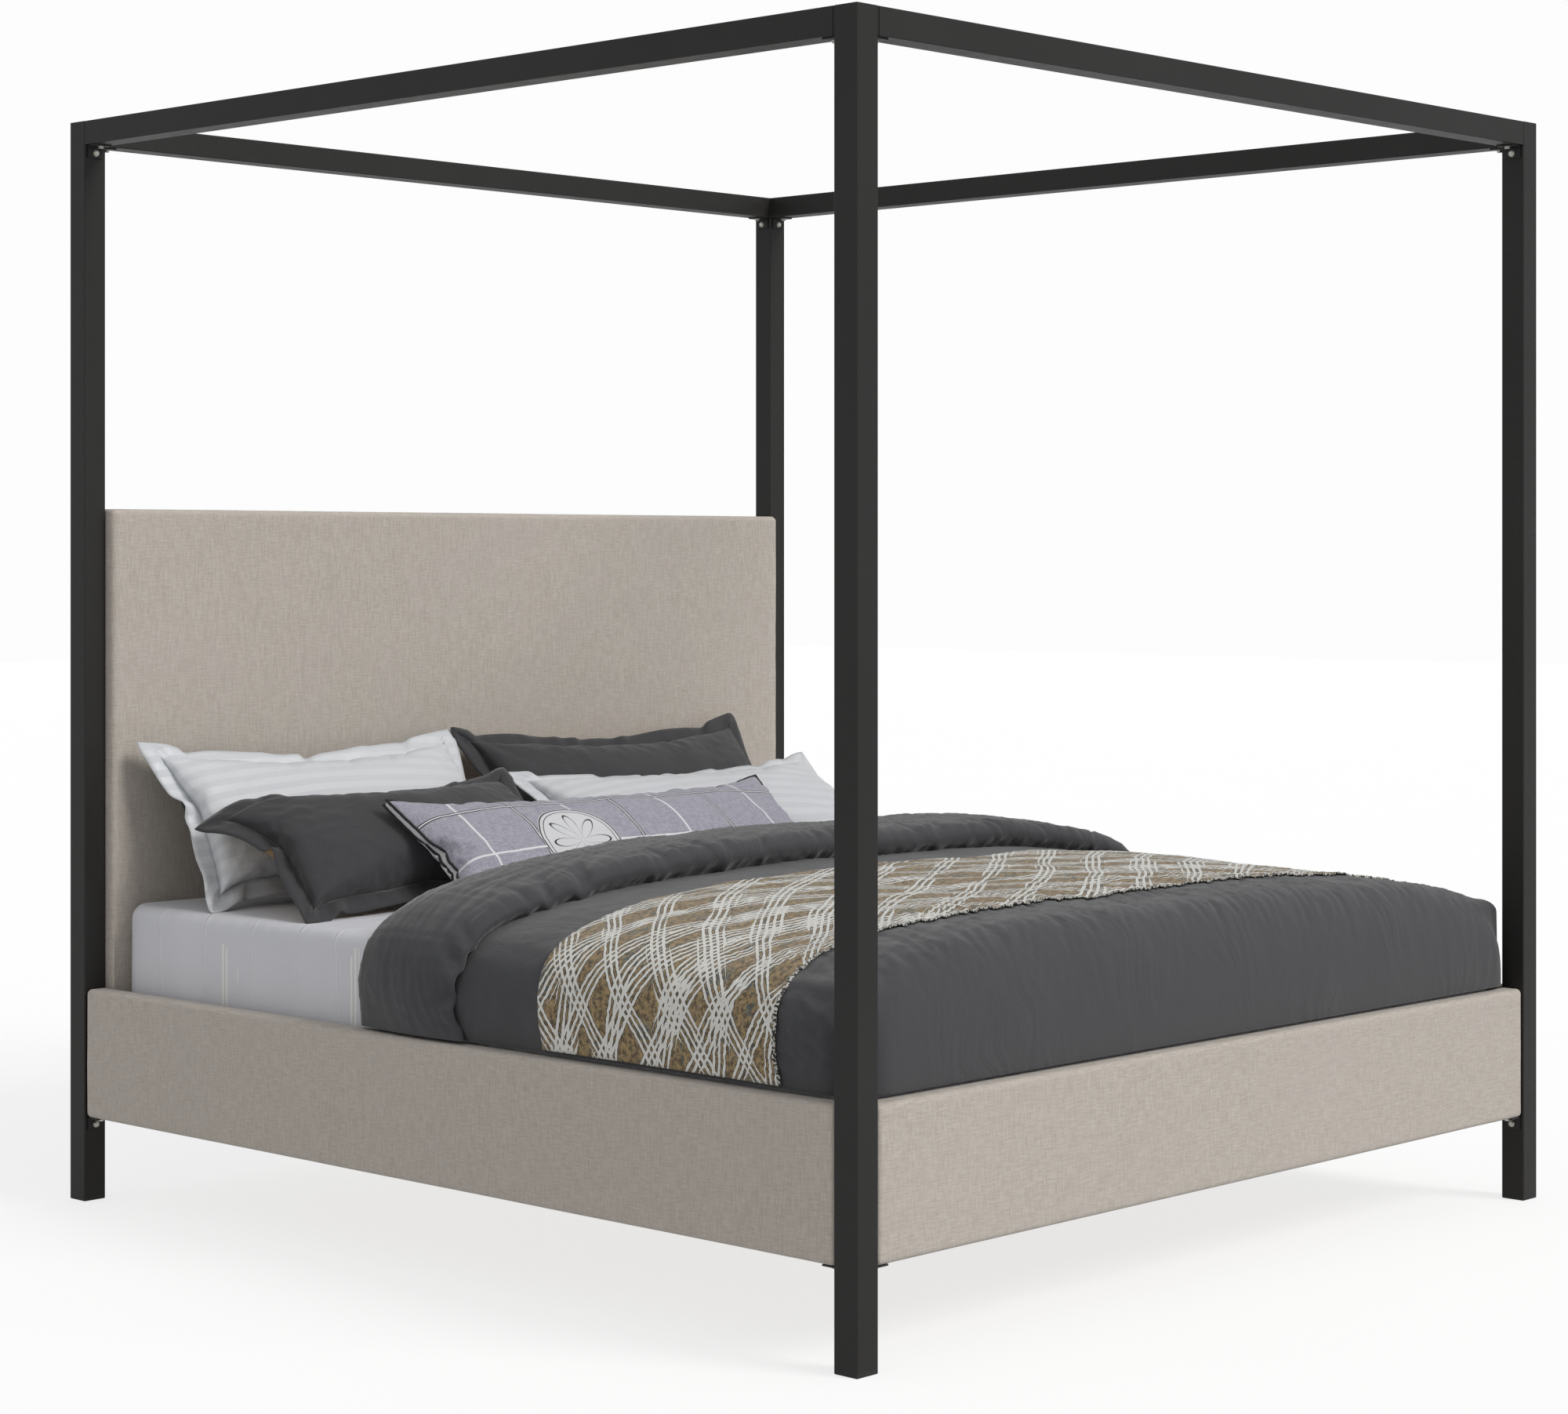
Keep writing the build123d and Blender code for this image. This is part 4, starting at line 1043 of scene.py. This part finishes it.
def inflate(pieces):
    """Runs the cloth simulation on all the pillows at once and writes its result to their meshes."""
    for piece, loose in pieces:
        cloth = piece.modifiers.new("cloth", "CLOTH")
        configured(cloth.settings, **PILLOW_CLOTH)
        cloth.settings.effector_weights.gravity = 0
        if loose:
            group = piece.vertex_groups.new(name="filled")
            group.add(loose, 1.0, "REPLACE")
            cloth.settings.vertex_group_pressure = "filled"
    for number in range(1, SIMULATED_FRAMES + 1):
        scene.frame_set(number)
    depsgraph = bpy.context.evaluated_depsgraph_get()
    for piece, _ in pieces:
        evaluated = piece.evaluated_get(depsgraph)
        points = np.empty(3 * len(piece.data.vertices))
        evaluated.data.vertices.foreach_get("co", points)
        piece.modifiers.clear()
        piece.vertex_groups.clear()
        piece.data.vertices.foreach_set("co", points)
        piece.data.update()
    scene.frame_set(1)


def pillow_frame(name, lean):
    """The pillow's own frame: x across, y up its height, z out of its front."""
    low, high = span(name)
    tilt = math.radians(lean)
    across = Vector((1, 0, 0))
    front = Vector((0, -math.cos(tilt), math.sin(tilt)))
    up = front.cross(across)
    matrix = Matrix((across, up, front)).transposed().to_4x4()
    matrix.translation = Vector((low + high) / 2)
    return matrix


def pillow_mesh(name, size, flange, gusset, seed, materials):
    width, height, thick = size
    inner_width, inner_height = width - 2 * flange, height - 2 * flange
    sheets = pillow_sheets(inner_width, inner_height, thick, gusset, seed)
    points, faces, groups, index, loop = sheets
    filled = list(range(len(points)))
    seams = None
    if gusset:
        seams = add_gusset(points, faces, groups, index, loop)
    else:
        add_flange(points, faces, groups, index, loop, inner_width, inner_height, flange, seed)
    piece = mesh_piece(name, points, faces, *materials)
    piece.data.polygons.foreach_set("material_index", groups)
    return piece, None if gusset else filled, seams


def puckers(x, y, share, half_wide, half_tall, seed):
    """Gathers square to the nearest seam, strongest between the seam and the crown, and soft dents."""
    lean = np.clip(3 * (abs(y) / half_tall - abs(x) / half_wide) + 0.5, 0, 1)
    upright = wavy((x, y, 0), (38.0, 7.0, 1.0), seed)
    level = wavy((x, y, 0), (7.0, 38.0, 1.0), seed + 4.0)
    fine = wavy((x + 0.4 * y, y - 0.5 * x, 0), (60.0, 14.0, 1.0), seed + 8.0)
    dents = wavy((x, y, 0), (7.0, 10.0, 1.0), seed + 2.0)
    gathers = lean * upright + (1 - lean) * level
    return 4 * share * (1 - share) * (0.0080 * gathers + 0.0030 * fine) + 0.008 * share * dents


def settle(piece, thick, tall, seed, droop=0.0):
    """Brings the pillow to its height and thickness, fuller low down and flatter behind."""

    def change(points):
        points = points.copy()
        points[:, 1] *= tall / 2 / np.abs(points[:, 1]).max()
        half_wide = np.abs(points[:, 0]).max()
        share = points[:, 2] / np.abs(points[:, 2]).max()
        depth = share * thick / 2 * (1.0 - 0.18 * points[:, 1] / (tall / 2))
        depth = np.where(depth > 0, depth * 1.15, depth * 0.8)
        for k, (x, y, _) in enumerate(points):
            rise = puckers(x, y, abs(share[k]), half_wide, tall / 2, seed * 2.7)
            depth[k] += math.copysign(rise, share[k])
        corner = np.clip((-points[:, 0] / half_wide - 0.66) / 0.34, 0, 1)
        corner *= np.clip(2 * points[:, 1] / tall, 0, 1)
        points[:, 2] = depth - droop * corner**1.5
        points[:, 1] -= 0.5 * droop * corner
        return points

    return reshaped(piece, change)


def rest_on_bed(piece, matrix):
    """Flattens the pillow where it meets the sheet and the headboard, given the frame it will have."""
    floor = sheet_high[2] + 0.0008
    wall = span("headboard_cover")[0][1] - 0.001
    turn, back = np.array(matrix), np.array(matrix.inverted())

    def change(points):
        world = points @ turn[:3, :3].T + turn[:3, 3]
        world[:, 2] = np.maximum(world[:, 2], floor)
        world[:, 1] = np.minimum(world[:, 1], wall)
        return world @ back[:3, :3].T + back[:3, 3]

    return reshaped(piece, change)


def split_flange(piece, name):
    """Takes the flange's faces off the pillow, as a piece of their own."""
    mesh = piece.data
    flange = [tuple(p.vertices) for p in mesh.polygons if p.material_index == 2]
    body = [(tuple(p.vertices), p.material_index) for p in mesh.polygons if p.material_index < 2]
    points = [tuple(v.co) for v in mesh.vertices]

    def compact(faces):
        used = sorted({k for f in faces for k in f})
        where = {k: i for i, k in enumerate(used)}
        return [points[k] for k in used], [tuple(where[k] for k in f) for f in faces]

    materials = list(mesh.materials)[:2]
    body_points, body_faces = compact([face for face, _ in body])
    made = mesh_piece(name + "_cover", body_points, body_faces, *materials)
    made.data.polygons.foreach_set("material_index", [k for _, k in body])
    flange_points, flange_faces = compact(flange)
    border = mesh_piece(name + "_border", flange_points, flange_faces, *materials)
    bpy.data.objects.remove(piece)
    return made, border


def piping(name, ring, material, radius):
    """A round cord sewn along a closed line of points."""
    curve = bpy.data.curves.new(name, "CURVE")
    configured(curve, dimensions="3D", bevel_depth=radius, bevel_resolution=2)
    spline = curve.splines.new("POLY")
    spline.points.add(len(ring) - 1)
    for point, co in zip(spline.points, ring):
        point.co = (*co, 1.0)
    spline.use_cyclic_u = True
    curve.materials.append(material)
    holder = placed(name, curve)
    depsgraph = bpy.context.evaluated_depsgraph_get()
    mesh = bpy.data.meshes.new_from_object(holder.evaluated_get(depsgraph))
    bpy.data.objects.remove(holder)
    return placed(name, mesh)


def make_pillows():
    started = {}
    for name, (wide, tall, thick, flange, _, front, back, seed) in PILLOWS.items():
        size = (wide, tall, thick)
        started[name] = pillow_mesh(name, size, flange, 0.0, seed, (front, back, front))
    wide, tall, thick, gusset, lean, seed = CHECK_PILLOW
    cloths = (MATERIALS["check_cotton"], WHITE_COTTON, WHITE_COTTON)
    size = (wide, tall, thick)
    started["pillow_check"] = pillow_mesh("pillow_check", size, 0.0, gusset, seed, cloths)
    inflate([(piece, filled) for piece, filled, _ in started.values()])
    for name, (_, up, deep, _, tilt, front, _, number) in PILLOWS.items():
        matrix = pillow_frame(name, tilt)
        piece = settle(started[name][0], deep, up, number, DROOP.get(name, 0.0))
        rest_on_bed(piece, matrix)
        made, border = split_flange(piece, name)
        thickened(border, FLANGE_THICK, 0.0, material_offset=1)
        subdivided(made)
        joined(made, border)
        made.matrix_world = matrix
        slot = "striped_sateen" if front == SATEEN else "charcoal_cotton"
        belong(made, slot, name)
    piece, _, seams = started["pillow_check"]
    matrix = pillow_frame("pillow_check", lean)
    settle(piece, thick, tall, seed)
    rest_on_bed(piece, matrix)
    rings = [[tuple(piece.data.vertices[k].co) for k in seam] for seam in seams]
    piece.name = "pillow_check_cover"
    subdivided(piece)
    cords = [piping(f"check_piping_{k}", ring, BLACK_PIPING, 0.0030) for k, ring in enumerate(rings)]
    joined(piece, *cords)
    piece.matrix_world = matrix
    belong(piece, "check_cotton", "pillow_check")


make_pillows()

# ================ floor, light and camera
FLOOR_SIZE = 60.0
# The floor's own glow as the bed gets it, and what the camera sees on top of that.
FLOOR_GLOW, FLOOR_SEEN = 0.30, 0.44
# Strength of the background as the camera sees it, and as it lights the bed.
WORLD_SEEN, WORLD_LIT = 0.98, 0.50
WORLD_COLOUR = rgb(0.97, 0.985, 1.0)


def make_floor():
    s = Shader("pale_floor")
    where = s.place()
    colour = s.mix(s.noise(where, 1.5, 3.0), rgb(0.25, 0.25, 0.25), rgb(0.26, 0.26, 0.26))
    s.put(s.surface.inputs["Emission Color"], rgb(1.0, 1.0, 1.0))
    ray = s.node("LightPath")
    s.put(s.surface.inputs["Emission Strength"], s.math("MULTIPLY_ADD", ray, FLOOR_SEEN, FLOOR_GLOW))
    s.finish(colour, 0.9)
    half = FLOOR_SIZE / 2
    corners = [(-half, -half, 0), (half, -half, 0), (half, half, 0), (-half, half, 0)]
    floor = mesh_piece("floor", corners, [(0, 1, 2, 3)], s.material)


def make_world():
    """A white studio: the camera sees a white background, and the bed is lit by a softer one."""
    world = bpy.data.worlds.new("studio")
    world.use_nodes = True
    tree = world.node_tree
    seen, lit = tree.nodes["Background"], tree.nodes.new("ShaderNodeBackground")
    for node, colour, strength in ((seen, grey(1.0), WORLD_SEEN), (lit, WORLD_COLOUR, WORLD_LIT)):
        node.inputs["Color"].default_value = colour
        node.inputs["Strength"].default_value = strength
    ray = tree.nodes.new("ShaderNodeLightPath")
    mix = tree.nodes.new("ShaderNodeMixShader")
    tree.links.new(ray.outputs["Is Camera Ray"], mix.inputs[0])
    tree.links.new(lit.outputs[0], mix.inputs[1])
    tree.links.new(seen.outputs[0], mix.inputs[2])
    tree.links.new(mix.outputs[0], tree.nodes["World Output"].inputs["Surface"])
    scene.world = world


def make_sun(name, strength, azimuth, elevation, angle, colour):
    """A large soft light; azimuth 0 shines from the foot end and 90 from the right."""
    sun = bpy.data.lights.new(name, "SUN")
    configured(sun, energy=strength, angle=math.radians(angle), color=colour)
    holder = placed(name, sun)
    a, e = math.radians(azimuth), math.radians(elevation)
    toward = Vector((math.sin(a) * math.cos(e), -math.cos(a) * math.cos(e), math.sin(e)))
    holder.rotation_euler = toward.to_track_quat("Z", "Y").to_euler()


CAMERA_PLACE = (-4.9335, -4.6214, 1.3081)
CAMERA_YAW = 46.53
CAMERA_LENS = 76.33
CAMERA_SHIFT = -0.0973


def make_camera():
    camera = bpy.data.cameras.new("camera")
    configured(camera, lens=CAMERA_LENS, sensor_width=36.0, shift_y=CAMERA_SHIFT, clip_end=200.0)
    holder = placed("camera", camera)
    holder.location = CAMERA_PLACE
    holder.rotation_euler = (math.radians(90), 0, -math.radians(CAMERA_YAW))
    scene.camera = holder


make_floor()
make_world()
make_sun("key", 1.80, 18.0, 38.0, 24.0, (1.0, 0.99, 0.97))
make_sun("fill", 0.22, -80.0, 30.0, 60.0, (1.0, 0.95, 0.88))
make_camera()
scene.view_settings.view_transform = "Standard"
